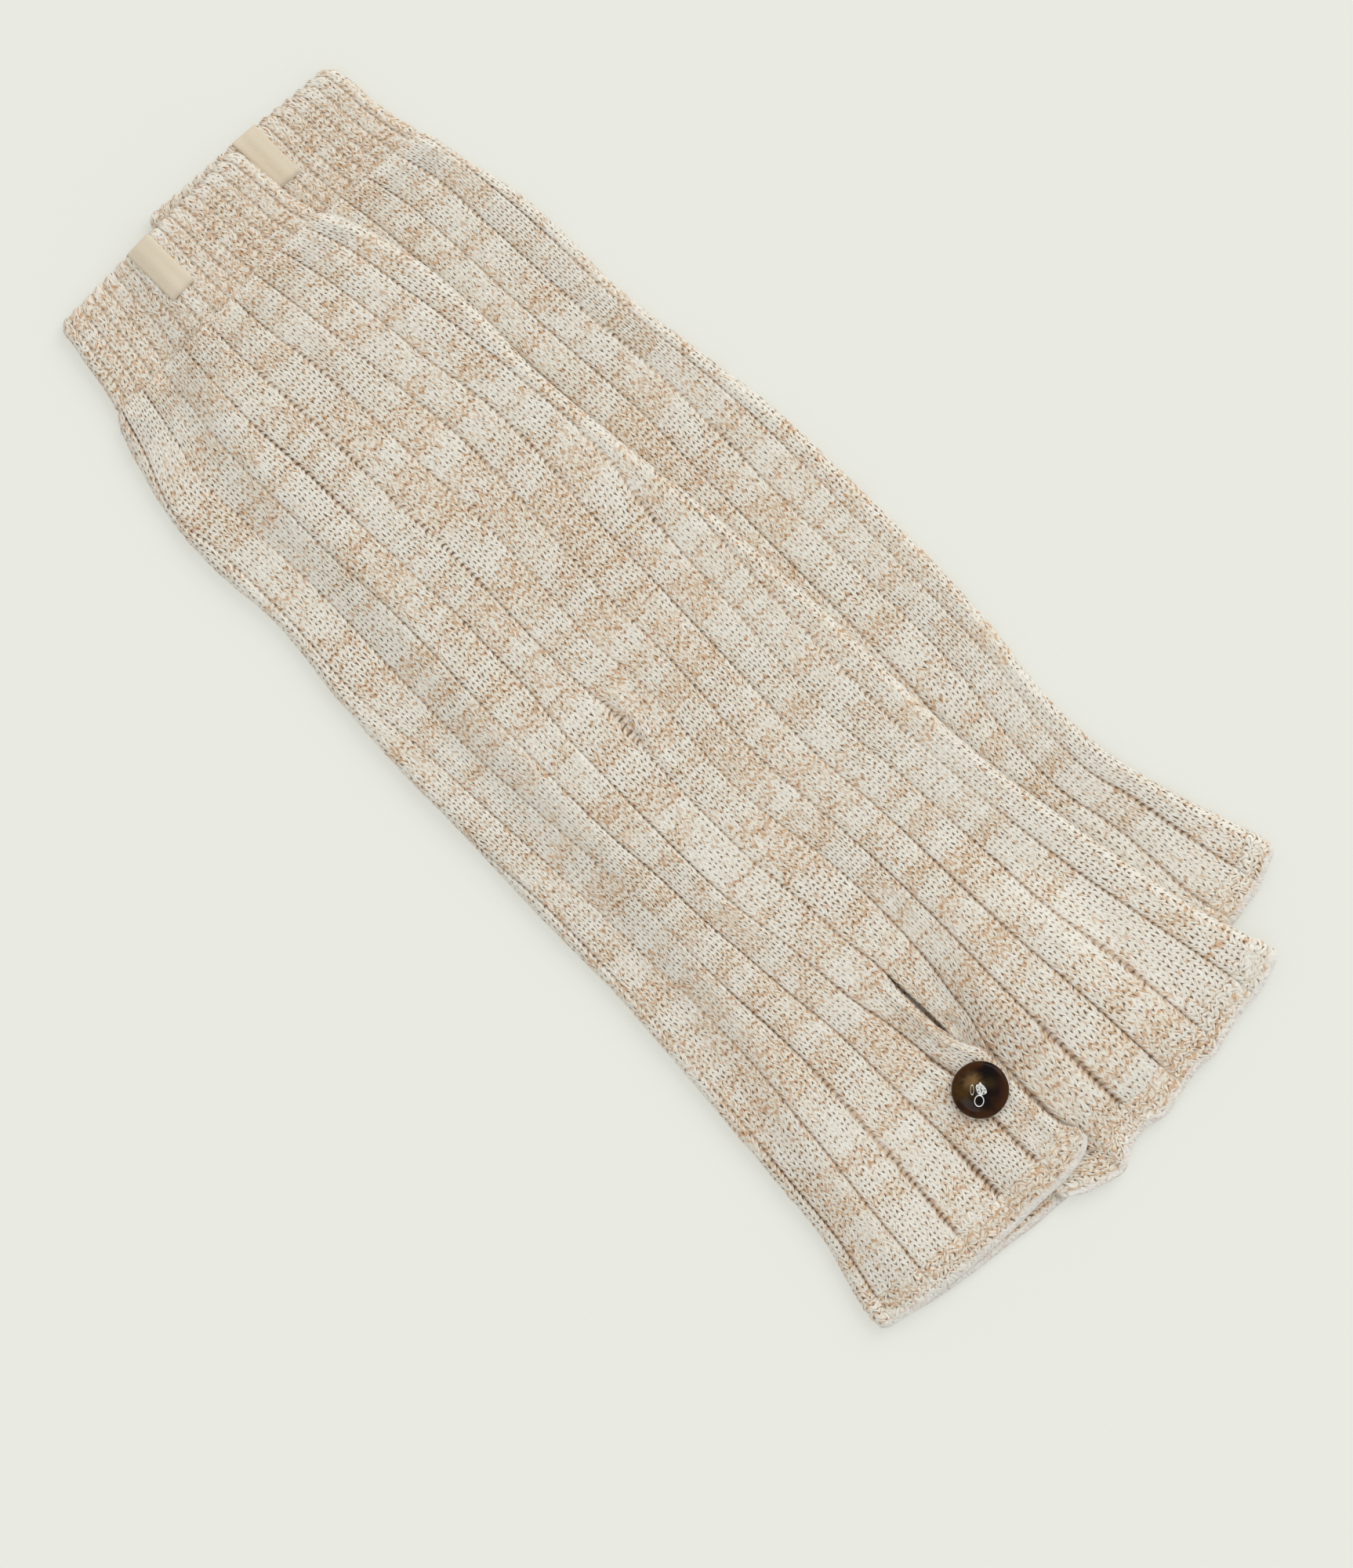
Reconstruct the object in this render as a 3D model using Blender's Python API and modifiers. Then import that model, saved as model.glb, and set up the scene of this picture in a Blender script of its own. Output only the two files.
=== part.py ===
"""A pair of knitted leg warmers laid flat, the upper one lying across the lower one.

Each is a flattened ribbed tube with a rib-knit cuff, a hem band and, in its top
layer, a slit whose left flap buttons over the right one. Sizes are in
millimetres on the plan of the pair: x across the legs, y along them towards the
cuffs, z up. The last step puts the origin under the middle of the pair.
"""

import math
from collections import namedtuple

import bmesh
import bpy
import numpy as np

COLLECTION = "leg_warmers"
MM = 0.001

# ---- Cloth -------------------------------------------------------------------
WALL = 2.3  # one layer of the knit
HOLLOW = 0.8  # between the two layers of a tube laid flat
FLAT = 2 * WALL + HOLLOW  # a tube laid flat, between its ribs
RIB = 0.9  # a rib's crown above the purl wale beside it
PURL = 0.2  # share of a rib that its purl wale's slope takes on each side
TURN = 2.7  # how far the rounded side of a tube reaches in
EASE = 6.0  # stretch in which the last ribs crowd together before they turn under
SEAM = 0.3  # between pieces
RIM = 0.7  # bevel round a cut edge

# ---- How the pair lies -------------------------------------------------------
STACK = FLAT + RIB + 0.6  # height of the upper leg where it lies on the lower one
DRAPE = 20.0  # width of its slope down to the surface
CLEAR = 4.0  # how far the slope stays outside the lower leg
FLAP_SWELL = 18.0  # width of its slopes over the lower leg's crossed flaps
BUTTON_SWELL = (35.0, 14.0)  # radii where it starts to rise over the lower button and is over it

# ---- Slit, flaps and button --------------------------------------------------
FLAP_LIFT = WALL + 0.4  # the left flap over the right one
FLAP_SLOPE = 14.0  # width of the left flap's slope up onto the right one
LENS = 8.0  # the slit's top that stays open before the flaps cross
CROSSING = 16.0  # length over which the left flap rises
FLAP_SKEW = 12.0  # how much further down the right flap's wales reach than the left's
CURL = 2.5  # the upper flap's corner, curled up from the hem
BUTTON_RADIUS = 10.15  # a 20.3 mm button, size 32
BUTTON_HEIGHT = 4.0
BUTTON_SEGMENTS = 28
KNOT = (4.6, 3.0, 1.5)  # the sewing thread's knot
KNOT_PLACE = (0.9, 0.3)  # from the button's middle

# ---- Cuff and label ----------------------------------------------------------
CUFF_RIBS = 16  # two-by-two ribs across one layer
LABEL_THICK = 0.45
LABEL_WIDTH = 10.5

# ---- Places on the plan ------------------------------------------------------
CUFF_LINE = 232.0  # where the cuffs meet the legs
UPPER_SLIT = -99.0  # top of the slit
LOWER_SLIT = -71.0
UPPER_BUTTON = (-0.5, -151.4)
LOWER_BUTTON = (40.5, -131.0)
UPPER_LABEL = 0.25
LOWER_LABEL = 53.9
LOWER_HEM_LEVEL = -175.0  # how far down the lower leg carries the upper one
LOWER_LEAN = -0.082  # the lower cuff's slant, which fades out down to LEAN_END
LEAN_END = 140.0

RIBS_SHOWN = 5.6  # ribs on each side of the slit line that a top layer carries
RIBS_IN_TABLE = 5

# A row for each section of the upper leg: the two sides, the purl wales l5 to l1
# and r1 to r5, and the free edges of the left flap and of the right one under it.
UPPER_NAMES = "y left l5 l4 l3 l2 l1 flap under r1 r2 r3 r4 r5 right"
UPPER_ROWS = (
    (232, -47.5, -54, -45, -34.5, -25, -14, -2, -2, 10.5, 22, 34, 46, 57, 53.5),
    (215, -54, -62, -50, -38, -27, -15.2, -2, -2, 11.3, 24.5, 38, 51.5, 64, 61),
    (195, -59.5, -70, -57.5, -42.5, -29, -15.8, -1, -1, 14, 26.8, 41, 55, 68, 66),
    (170, -61.5, -69, -56, -42, -29, -14.5, 0, 0, 15.5, 29.5, 43.5, 59, 73, 68),
    (140, -59.5, -69, -55.5, -41, -29, -14, 0.5, 0.5, 16, 32.5, 47.5, 62, 76, 67.5),
    (105, -63.2, -71, -57, -42, -28, -12.5, 1.5, 1.5, 17, 31.5, 47.2, 63.5, 78, 70.5),
    (70, -65.5, -68.5, -55, -43, -29, -13.2, 0.7, 0.7, 15, 30, 45, 60, 73.5, 74.8),
    (35, -66, -65.2, -53.3, -41.7, -29.5, -15.7, 1.5, 1.5, 16.5, 29.4, 43.8, 58.2, 71.2, 78),
    (0, -67, -63.5, -51.5, -39.5, -29, -16, 0, 0, 15, 28, 43, 56, 70, 80),
    (-35, -67.2, -64, -50.8, -38.5, -27.5, -16.2, -0.2, -0.2, 15.8, 28.5, 43.2, 57.3, 70, 81),
    (-70, -69.5, -65.2, -50.5, -38, -25, -12.7, 2.5, 2.5, 19.5, 30.8, 45, 59.2, 72, 82.7),
    (-99, -72, -68, -51.7, -37.2, -22.2, -9.5, 5, 5, 18.8, 31, 45.7, 60.5, 75, 87),
    (-112, -73, -69.2, -52.8, -37.6, -21.8, -8.2, 4, 6.2, 17.8, 30.6, 46, 61, 76.5, 89.2),
    (-125, -74.3, -70.5, -54, -38, -21.5, -6.2, 5, 4.5, 16, 30.5, 46.5, 62, 78.5, 91.5),
    (-138, -75.3, -71.5, -55.5, -38.8, -21.2, -4.4, 9.3, -2, 13, 30.5, 47.5, 64, 81, 93.7),
    (-150, -76.5, -72.5, -57, -39.5, -21, -4, 10.3, -8, 11.5, 30.5, 48.5, 66, 83.5, 96),
    (-182, -83.5, -78, -60, -42, -22, -4, 12, -8, 12, 31, 50.5, 69.5, 90, 105),
    (-194, -85.5, -80, -61.5, -43, -22.5, -3, 17, -7, 16, 31.5, 51.5, 71, 92, 109),
)

# The lower leg: its left half lies under the upper one, so its other wales are even.
LOWER_NAMES = "y left flap under r3 r4 r5 right"
LOWER_ROWS = (
    (232, 1, 40, 40, 74, 87, 98, 99),
    (215, -10, 40, 40, 77.5, 91, 101, 102.5),
    (195, -16.5, 40.5, 40.5, 79, 92.2, 103.2, 107),
    (170, -20, 41, 41, 80, 93.5, 104.7, 109),
    (140, -19.5, 41, 41, 81.5, 95, 105.5, 108.7),
    (106, -21, 42, 42, 84, 98, 108.3, 113),
    (70, -24, 42, 42, 84, 98, 110.5, 117.7),
    (35, -26, 41.5, 41.5, 83.5, 97.7, 110.7, 119),
    (0, -28, 41, 41, 83, 98.5, 111, 119.5),
    (-35, -31, 40, 40, 82.5, 98.7, 110.2, 118.2),
    (-71, -36, 38, 38, 79, 94.3, 106.2, 114),
    (-84, -39, 38, 40.3, 79.5, 94, 105.5, 114),
    (-99, -42, 41, 40.4, 80, 94.5, 106, 115.4),
    (-112, -46, 47, 35, 81, 97, 109, 118),
    (-125, -49, 50, 32.5, 82, 99.5, 112, 121.8),
    (-155, -54, 51, 32.5, 86, 103, 118.5, 131),
    (-167, -56, 54, 32.5, 88, 105, 121, 134),
)

# The hem's edge at the sides, at each purl wale and in the middle of the bottom layer.
HEM_NAMES = "left l5 l4 l3 l2 l1 flap under r1 r2 r3 r4 r5 right bottom"
UPPER_HEM = (
    -187.5, -190, -192.5, -194, -194.5, -195, -190.5,
    -200.5, -207.5, -203.2, -202.4, -201.2, -197.5, -191.5, -200.5,
)
LOWER_HEM = (
    -162, -163, -165, -166, -167, -168, -166,
    -173, -177, -176, -175.5, -173.5, -170, -164.5, -172,
)

CUFF_NAMES = "y left right"
UPPER_CUFF = (
    (268, -38.5, 46.5),
    (266.3, -40, 48),
    (261, -41, 49),
    (250, -43, 50),
    (240, -44.7, 51),
    (232, -47.2, 53.3),
)
LOWER_CUFF = (
    (270.5, 10.2, 90),
    (268.8, 8.6, 92.3),
    (263, 7.4, 94),
    (250, 5.5, 95),
    (240, 3.3, 96.7),
    (232, 1.2, 98.8),
)

# Sections of a leg from the cuff down to its hem band, and of the band from there.
UPPER_LEG_YS = (
    232, 222, 210, 195, 178, 160, 140, 120, 100, 80, 60, 40, 20, 0, -20, -40, -60, -80,
    -99, -106, -112, -118, -125, -131, -138, -150, -160, -168, -175, -182,
)
LOWER_LEG_YS = (
    232, 222, 210, 195, 175, 155, 135, 115, 95, 75, 55, 35, 15, -5, -27, -49,
    -71, -78, -84, -91, -99, -105, -112, -125, -140, -155,
)
BAND = (0.0, 0.3, 0.6, 0.88, 1.0)  # sections of the hem band, as shares of its width
BAND_RISE = 0.5  # the band's face above a purl wale
BAND_BULGE = 0.5  # the band's rolled middle above its face

Column = namedtuple("Column", "key zone value")
Leg = namedtuple("Leg", "prefix sections cuff hem slit lean curl rise button label_x")


# ---- Curves through the tables -----------------------------------------------
def step(start, end, at):
    """0 before start, 1 after end, and a smooth rise between; end may be the lower."""
    share = min(max((at - start) / (end - start), 0.0), 1.0)
    return share * share * (3 - 2 * share)


def table(names, rows):
    """The named columns of a table, its rows running towards the cuff."""
    return dict(zip(names.split(), np.array(rows[::-1], float).T))


def along(sections, name, y):
    """A column's value at y, on a smooth curve through its rows."""
    ys, values = sections["y"], sections[name]
    y = min(max(y, ys[0]), ys[-1])
    slopes = np.gradient(values, ys)
    i = int(np.clip(np.searchsorted(ys, y) - 1, 0, len(ys) - 2))
    span = ys[i + 1] - ys[i]
    t = (y - ys[i]) / span
    return (
        values[i] * (1 - t) ** 2 * (1 + 2 * t)
        + values[i + 1] * t * t * (3 - 2 * t)
        + slopes[i] * span * t * (1 - t) ** 2
        - slopes[i + 1] * span * t * t * (1 - t)
    )


def with_even_wales(rows):
    """The lower leg's sections, with the wales that lie hidden spaced evenly."""
    sections = table(LOWER_NAMES, rows)
    pitch = (sections["flap"] - sections["left"]) / (RIBS_IN_TABLE - 0.2)
    for i in range(1, RIBS_IN_TABLE + 1):
        sections[f"l{i}"] = sections["flap"] - i * pitch
    for i in (1, 2):
        sections[f"r{i}"] = sections["under"] + i * (sections["r3"] - sections["under"]) / 3
    return sections


# ---- Where the upper leg is held up by the lower one -------------------------
def lower_top(x, y):
    """Height that the upper leg's underside keeps to, over the lower leg."""
    legs = LOWER_SECTIONS
    side = along(LOWER_CUFF_SECTIONS if y > CUFF_LINE else legs, "left", y) - CLEAR
    end = LOWER_HEM_LEVEL - CLEAR
    on_leg = step(side - DRAPE, side, x) * step(end - DRAPE, end, y)
    from_left = along(legs, "under", y) - CLEAR
    from_right = along(legs, "flap", y) + CLEAR
    on_flap = step(from_left - FLAP_SWELL, from_left, x)
    on_flap *= step(from_right + FLAP_SWELL, from_right, x)
    on_flap *= step(LOWER_SLIT, LOWER_SLIT - CROSSING, y)
    reach = math.hypot(x - LOWER_BUTTON[0], y - LOWER_BUTTON[1])
    on_button = step(*BUTTON_SWELL, reach)
    return on_leg * (STACK + FLAP_LIFT * on_flap + (BUTTON_HEIGHT + 2 * SEAM) * on_button)


def flat_surface(_x, _y):
    return 0.0


# ---- One section of a tube laid flat -----------------------------------------
def turn_point(edge, outwards, angle, outer):
    """(x, z) on the rounded side, where the top layer turns into the bottom one."""
    reach = TURN if outer else HOLLOW / 2
    half = FLAT / 2 if outer else HOLLOW / 2
    side = edge if outer else edge - outwards * WALL
    x = side - outwards * reach * (1 - math.cos(angle))
    return x, FLAT / 2 + half * math.sin(angle)


def wale_place(leg, side, ribs, y, outer):
    """(x, how open the ribs are) of the wale this many ribs from the slit line."""
    first, edge = ("flap", "left") if side == "l" else ("under", "right")
    names = [first] + [f"{side}{i}" for i in range(1, RIBS_IN_TABLE + 1)]
    places = [along(leg.sections, name, y) for name in names]
    places.append(2 * places[-1] - places[-2])
    far = abs(np.interp(ribs, range(len(places)), places) - places[0])
    inset = TURN if outer else WALL + HOLLOW / 2
    room = abs(along(leg.sections, edge, y) - places[0]) - inset
    beyond = far - (room - EASE)
    openness = 1.0
    if beyond > 0:
        far = room - EASE * EASE / (EASE + beyond)
        openness = (EASE / (EASE + beyond)) ** 2
    return places[0] + (-far if side == "l" else far), openness


def rib_relief(ribs):
    """Share of the full rib height: nothing on a purl wale, full on the crown."""
    return math.sin(math.pi / 2 * min(1.0, abs(ribs - round(ribs)) / PURL))


def leg_point(leg, column, y, outer):
    """(x, z) of a column of the leg's tube at the section y."""
    left = along(leg.sections, "left", y)
    right = along(leg.sections, "right", y)
    if column.zone in ("l turn", "r turn"):
        edge, outwards = (left, -1) if column.zone == "l turn" else (right, 1)
        return turn_point(edge, outwards, column.value, outer)
    if column.zone == "bottom":
        x = left + TURN + column.value * (right - left - 2 * TURN)
        return x, 0.0 if outer else WALL
    x, openness = wale_place(leg, column.zone, column.value, y, outer)
    z = FLAT if outer else FLAT - WALL
    under = along(leg.sections, "under", y)
    crossed = step(leg.slit - LENS, leg.slit - LENS - CROSSING, y)
    if column.zone == "l":
        z += FLAP_LIFT * crossed * step(under - 1 - FLAP_SLOPE, under - 1, x)
        corner = max(0.0, 1 - column.value / 1.2)
        z += leg.curl * corner * step(leg.sections["y"][1] + 2, leg.sections["y"][0], y)
    if outer:
        shown = 1.0
        if column.zone == "r" and y < leg.slit:
            flap = max(along(leg.sections, "flap", y - down) for down in (0, FLAP_SKEW))
            shown = max(1 - crossed, step(flap, flap + 4, x))
        z += RIB * rib_relief(column.value) * openness * shown
    return x, z


def cuff_point(leg, column, y, outer):
    """(x, z) of a column of the cuff's tube at the section y."""
    left, right = along(leg.cuff, "left", y), along(leg.cuff, "right", y)
    if column.zone in ("l turn", "r turn"):
        edge, outwards = (left, -1) if column.zone == "l turn" else (right, 1)
        return turn_point(edge, outwards, column.value, outer)
    inset = TURN if outer else WALL + HOLLOW / 2
    x = left + inset + column.value * (right - left - 2 * inset)
    if column.zone == "bottom":
        return x, 0.0 if outer else WALL
    wave = 0.5 - 0.5 * math.cos(2 * math.pi * CUFF_RIBS * column.value)
    return x, FLAT + RIB * wave if outer else FLAT - WALL


def hem_edge(leg, column):
    """y of the hem's edge below a column of the leg."""
    hem = dict(zip(HEM_NAMES.split(), leg.hem))
    if column.zone == "l turn":
        return hem["left"]
    if column.zone == "r turn":
        return hem["right"]
    if column.zone == "bottom":
        side = hem["left"] + column.value * (hem["right"] - hem["left"])
        return side + (hem["bottom"] - side) * math.sin(math.pi * column.value)
    first, last = ("flap", "left") if column.zone == "l" else ("under", "right")
    names = [first] + [f"{column.zone}{i}" for i in range(1, RIBS_IN_TABLE + 1)] + [last]
    places = [hem[name] for name in names]
    return float(np.interp(column.value, [0, 1, 2, 3, 4, 5, RIBS_SHOWN], places))


def placed(leg, column, x, y, z):
    """A section's point where the leg really lies: leant, hemmed and draped."""
    middle = along(leg.sections, "flap", CUFF_LINE)
    y_out = y + leg.lean * (x - middle) * step(LEAN_END, CUFF_LINE, y)
    nominal = leg.sections["y"][0]
    if y < leg.slit and column is not None:
        y_out += (hem_edge(leg, column) - nominal) * step(leg.slit - 30, nominal + 8, y)
    return x, y_out, z + leg.rise(x, y_out)


# ---- Meshes ------------------------------------------------------------------
def ring_of(top_right, top_left, bottom):
    """Columns round a tube, from the slit line over the left side to the slit again."""
    ring = [Column(u / 8, "l", u) for u in top_left]
    ring += [Column(1 + 0.1 * i, "l turn", a) for i, a in enumerate(TURN_ANGLES)]
    ring += [Column(1.5 + 0.4 * f, "bottom", f) for f in bottom]
    ring += [Column(2 + 0.1 * i, "r turn", -a) for i, a in enumerate(TURN_ANGLES)]
    ring += [Column(3 - u / 8, "r", u) for u in top_right]
    return ring


def cuff_ring(top, bottom):
    """Columns round a cuff, closed on its first one."""
    ring = [Column(1 - f, "top", f) for f in top]
    ring += [Column(1.1 + 0.1 * i, "l turn", a) for i, a in enumerate(TURN_ANGLES)]
    ring += [Column(1.5 + 0.4 * f, "bottom", f) for f in bottom]
    ring += [Column(2 + 0.1 * i, "r turn", -a) for i, a in enumerate(TURN_ANGLES)]
    return ring + [Column(3, "top", top[0])]


TURN_ANGLES = [math.radians(a) for a in (50, 0, -50)]


def shares(count):
    return [i / count for i in range(count + 1)]


def rib_columns(offsets):
    """Numbers of ribs from the slit line, outwards, with these columns in each rib."""
    found = [i + part for i in range(RIBS_IN_TABLE + 1) for part in offsets]
    return [u for u in found if u <= RIBS_SHOWN]


def zip_rims(mesh, outer, outer_keys, inner, inner_keys):
    """Triangles that close the wall between two rims with unlike columns."""
    i = j = 0
    while i < len(outer) - 1 or j < len(inner) - 1:
        outer_next = outer_keys[i + 1] if i < len(outer) - 1 else math.inf
        inner_next = inner_keys[j + 1] if j < len(inner) - 1 else math.inf
        if outer_next <= inner_next:
            mesh.faces.new((outer[i], outer[i + 1], inner[j]))
            i += 1
        else:
            mesh.faces.new((outer[i], inner[j + 1], inner[j]))
            j += 1


def loft_tube(name, outer, outer_keys, inner, inner_keys, closed_rows, material):
    """A knitted tube's wall through its sections, slit open below closed_rows."""
    mesh = bmesh.new()
    grids = []
    for points in (outer, inner):
        grid = [[mesh.verts.new(p) for p in row[:-1]] for row in points]
        for j, row in enumerate(points):
            grid[j].append(grid[j][0] if j < closed_rows else mesh.verts.new(row[-1]))
        for above, below in zip(grid, grid[1:]):
            for c in range(len(above) - 1):
                corners = (above[c], above[c + 1], below[c + 1], below[c])
                mesh.faces.new(dict.fromkeys(corners))
        grids.append(grid)
    outside, inside = grids
    for row in (0, -1):
        zip_rims(mesh, outside[row], outer_keys, inside[row], inner_keys)
    for j in range(max(closed_rows - 1, 0), len(outside) - 1):
        for end in (0, -1):
            corners = (outside[j][end], inside[j][end], inside[j + 1][end], outside[j + 1][end])
            mesh.faces.new(corners)
    bmesh.ops.recalc_face_normals(mesh, faces=mesh.faces)
    return add_object(name, mesh, material)


def add_object(name, mesh, material):
    bmesh.ops.scale(mesh, vec=(MM, MM, MM), verts=mesh.verts)
    data = bpy.data.meshes.new(name)
    mesh.to_mesh(data)
    mesh.free()
    obj = bpy.data.objects.new(name, data)
    data.materials.append(material)
    bpy.data.collections[COLLECTION].objects.link(obj)
    return obj


# ---- The pieces of one leg warmer --------------------------------------------
def leg_rings(leg):
    """(outer ring, inner ring): the upper leg bends more, so it has more columns."""
    fine = leg.rise is lower_top
    outer_ribs = rib_columns((0.0, PURL, 1 - PURL))
    inner_ribs = rib_columns((0.0, 0.5) if fine else (0.0,))
    bottom = shares(20 if fine else 6)
    outer = ring_of(outer_ribs[::-1], outer_ribs, bottom)
    inner = ring_of(inner_ribs[::-1], inner_ribs, bottom if fine else shares(6))
    return outer, inner


def make_leg(leg, ys, material):
    outer_ring, inner_ring = leg_rings(leg)
    grids = []
    for ring, outer in ((outer_ring, True), (inner_ring, False)):
        rows = []
        for y in ys:
            points = [leg_point(leg, column, y, outer) for column in ring]
            rows.append([placed(leg, c, x, y, z) for c, (x, z) in zip(ring, points)])
        grids.append(rows)
    closed = ys.index(leg.slit) + 1
    keys = [[column.key for column in ring] for ring in (outer_ring, inner_ring)]
    loft_tube(f"{leg.prefix}_leg", grids[0], keys[0], grids[1], keys[1], closed, material)


def make_hem(leg, top, material):
    """The moss-stitch band: thicker than the leg, rolled at its free edge."""
    outer_ring, inner_ring = leg_rings(leg)
    start, end = top - SEAM, leg.sections["y"][0]
    grids = []
    for ring, outer in ((outer_ring, True), (inner_ring, False)):
        rows = []
        for share in BAND:
            y = start + share * (end - start)
            row = []
            for column in ring:
                x, z = leg_point(leg, column, y, outer)
                if outer and column.zone in ("l", "r"):
                    face = leg_point(leg, column, y, False)[1] + WALL + BAND_RISE
                    z += (face - z) * step(0.0, 0.5, share)
                    z += BAND_BULGE * math.sin(math.pi * share) - RIM * step(0.85, 1, share)
                row.append(placed(leg, column, x, y, z))
            rows.append(row)
        grids.append(rows)
    keys = [[column.key for column in ring] for ring in (outer_ring, inner_ring)]
    loft_tube(f"{leg.prefix}_hem", grids[0], keys[0], grids[1], keys[1], 0, material)


def make_cuff(leg, material):
    """The rib-knit cuff above the leg, its cut top edge bevelled."""
    top_edge = leg.cuff["y"][-1]
    low_edge = leg.cuff["y"][0] + SEAM
    ys = [top_edge, top_edge - 1.2, top_edge - 6]
    ys += [top_edge - 6 + share * (low_edge - top_edge + 6) for share in (0.3, 0.6, 0.85, 1)]
    outer_ring = cuff_ring(shares(2 * CUFF_RIBS)[::-1], shares(10))
    inner_ring = cuff_ring(shares(CUFF_RIBS)[::-1], shares(10))
    grids = []
    for ring, outer in ((outer_ring, True), (inner_ring, False)):
        rows = []
        for y in ys:
            points = [cuff_point(leg, column, y, outer) for column in ring]
            if outer and y == top_edge:
                points = [(x, z - RIM * (z > FLAT)) for x, z in points]
            rows.append([placed(leg, None, x, y, z) for x, z in points])
        grids.append(rows)
    keys = [[column.key for column in ring] for ring in (outer_ring, inner_ring)]
    rows = len(ys)
    loft_tube(f"{leg.prefix}_cuff", grids[0], keys[0], grids[1], keys[1], rows, material)


def make_label(leg, material):
    """The bare woven label: on the cuff's face and folded down over its top edge."""
    top = leg.cuff["y"][-1] + SEAM
    crown = FLAT + RIB + SEAM
    profile = [(top - 23, crown), (top - 12, crown), (top - 0.8, crown)]
    profile += [(top, crown - 0.8), (top, FLAT - WALL + SEAM)]
    mesh = bmesh.new()
    rows = []
    for share in shares(6):
        x = leg.label_x + (share - 0.5) * LABEL_WIDTH
        rows.append([mesh.verts.new(placed(leg, None, x, y, z)) for y, z in profile])
    for one, other in zip(rows, rows[1:]):
        for i in range(len(profile) - 1):
            mesh.faces.new((one[i], other[i], other[i + 1], one[i + 1]))
    obj = add_object(f"{leg.prefix}_label", mesh, material)
    thicken = obj.modifiers.new("woven thickness", "SOLIDIFY")
    thicken.thickness = LABEL_THICK * MM
    thicken.offset = 1.0
    return obj


def button_place(leg):
    """The middle of the button's foot, just clear of the flap all round."""
    x, y = leg.button
    reach = 0.8 * BUTTON_RADIUS
    ground = max(leg.rise(x + dx, y + dy) for dx in (-reach, 0, reach) for dy in (-reach, 0, reach))
    return x, y, ground + FLAT + FLAP_LIFT + RIB + SEAM


def make_button(leg, material):
    """A turned button with a shallow dish and a rounded rim."""
    profile = (
        (0.0, BUTTON_HEIGHT * 0.55), (0.30, BUTTON_HEIGHT * 0.56), (0.55, BUTTON_HEIGHT * 0.72),
        (0.78, BUTTON_HEIGHT * 0.93), (0.88, BUTTON_HEIGHT), (0.95, BUTTON_HEIGHT * 0.93),
        (1.0, BUTTON_HEIGHT * 0.66), (0.97, BUTTON_HEIGHT * 0.40), (0.70, 0.0), (0.0, 0.0),
    )
    mesh = bmesh.new()
    points = [mesh.verts.new((r * BUTTON_RADIUS, 0, z)) for r, z in profile]
    for one, other in zip(points, points[1:]):
        mesh.edges.new((one, other))
    obj = add_object(f"{leg.prefix}_button", mesh, material)
    obj.location = [MM * v for v in button_place(leg)]
    turned = obj.modifiers.new("turned", "SCREW")
    turned.steps = turned.render_steps = BUTTON_SEGMENTS
    turned.use_merge_vertices = True
    turned.merge_threshold = 0.0001
    return obj


def make_knot(leg, material):
    """The white thread that sews the button on, knotted in its dish."""
    x, y, z = button_place(leg)
    mesh = bmesh.new()
    bmesh.ops.create_uvsphere(mesh, u_segments=12, v_segments=8, radius=0.5)
    bmesh.ops.scale(mesh, vec=KNOT, verts=mesh.verts)
    lift = BUTTON_HEIGHT * 0.6 + SEAM + KNOT[2] / 2
    offset = (x + KNOT_PLACE[0], y + KNOT_PLACE[1], z + lift)
    bmesh.ops.translate(mesh, vec=offset, verts=mesh.verts)
    return add_object(f"{leg.prefix}_button_thread", mesh, material)


# ---- Build -------------------------------------------------------------------
def plain_material(name, colour, roughness):
    material = bpy.data.materials.new(name)
    material.use_nodes = True
    shader = material.node_tree.nodes["Principled BSDF"]
    shader.inputs["Base Color"].default_value = (*colour, 1)
    shader.inputs["Roughness"].default_value = roughness
    shader.inputs["Metallic"].default_value = 0.0
    return material


def centre(objects):
    """Puts the origin under the middle of the pair, by an empty that carries it."""
    bpy.context.view_layer.update()
    graph = bpy.context.evaluated_depsgraph_get()
    corners = []
    for obj in objects:
        shape = obj.evaluated_get(graph)
        corners += [shape.matrix_world @ vertex.co for vertex in shape.data.vertices]
    lows, highs = np.min(corners, axis=0), np.max(corners, axis=0)
    carrier = bpy.data.objects.new(COLLECTION, None)
    carrier.location = (-(lows[0] + highs[0]) / 2, -(lows[1] + highs[1]) / 2, -lows[2])
    bpy.data.collections[COLLECTION].objects.link(carrier)
    for obj in objects:
        obj.parent = carrier


UPPER_SECTIONS = table(UPPER_NAMES, UPPER_ROWS)
LOWER_SECTIONS = with_even_wales(LOWER_ROWS)
UPPER_CUFF_SECTIONS = table(CUFF_NAMES, UPPER_CUFF)
LOWER_CUFF_SECTIONS = table(CUFF_NAMES, LOWER_CUFF)


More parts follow.
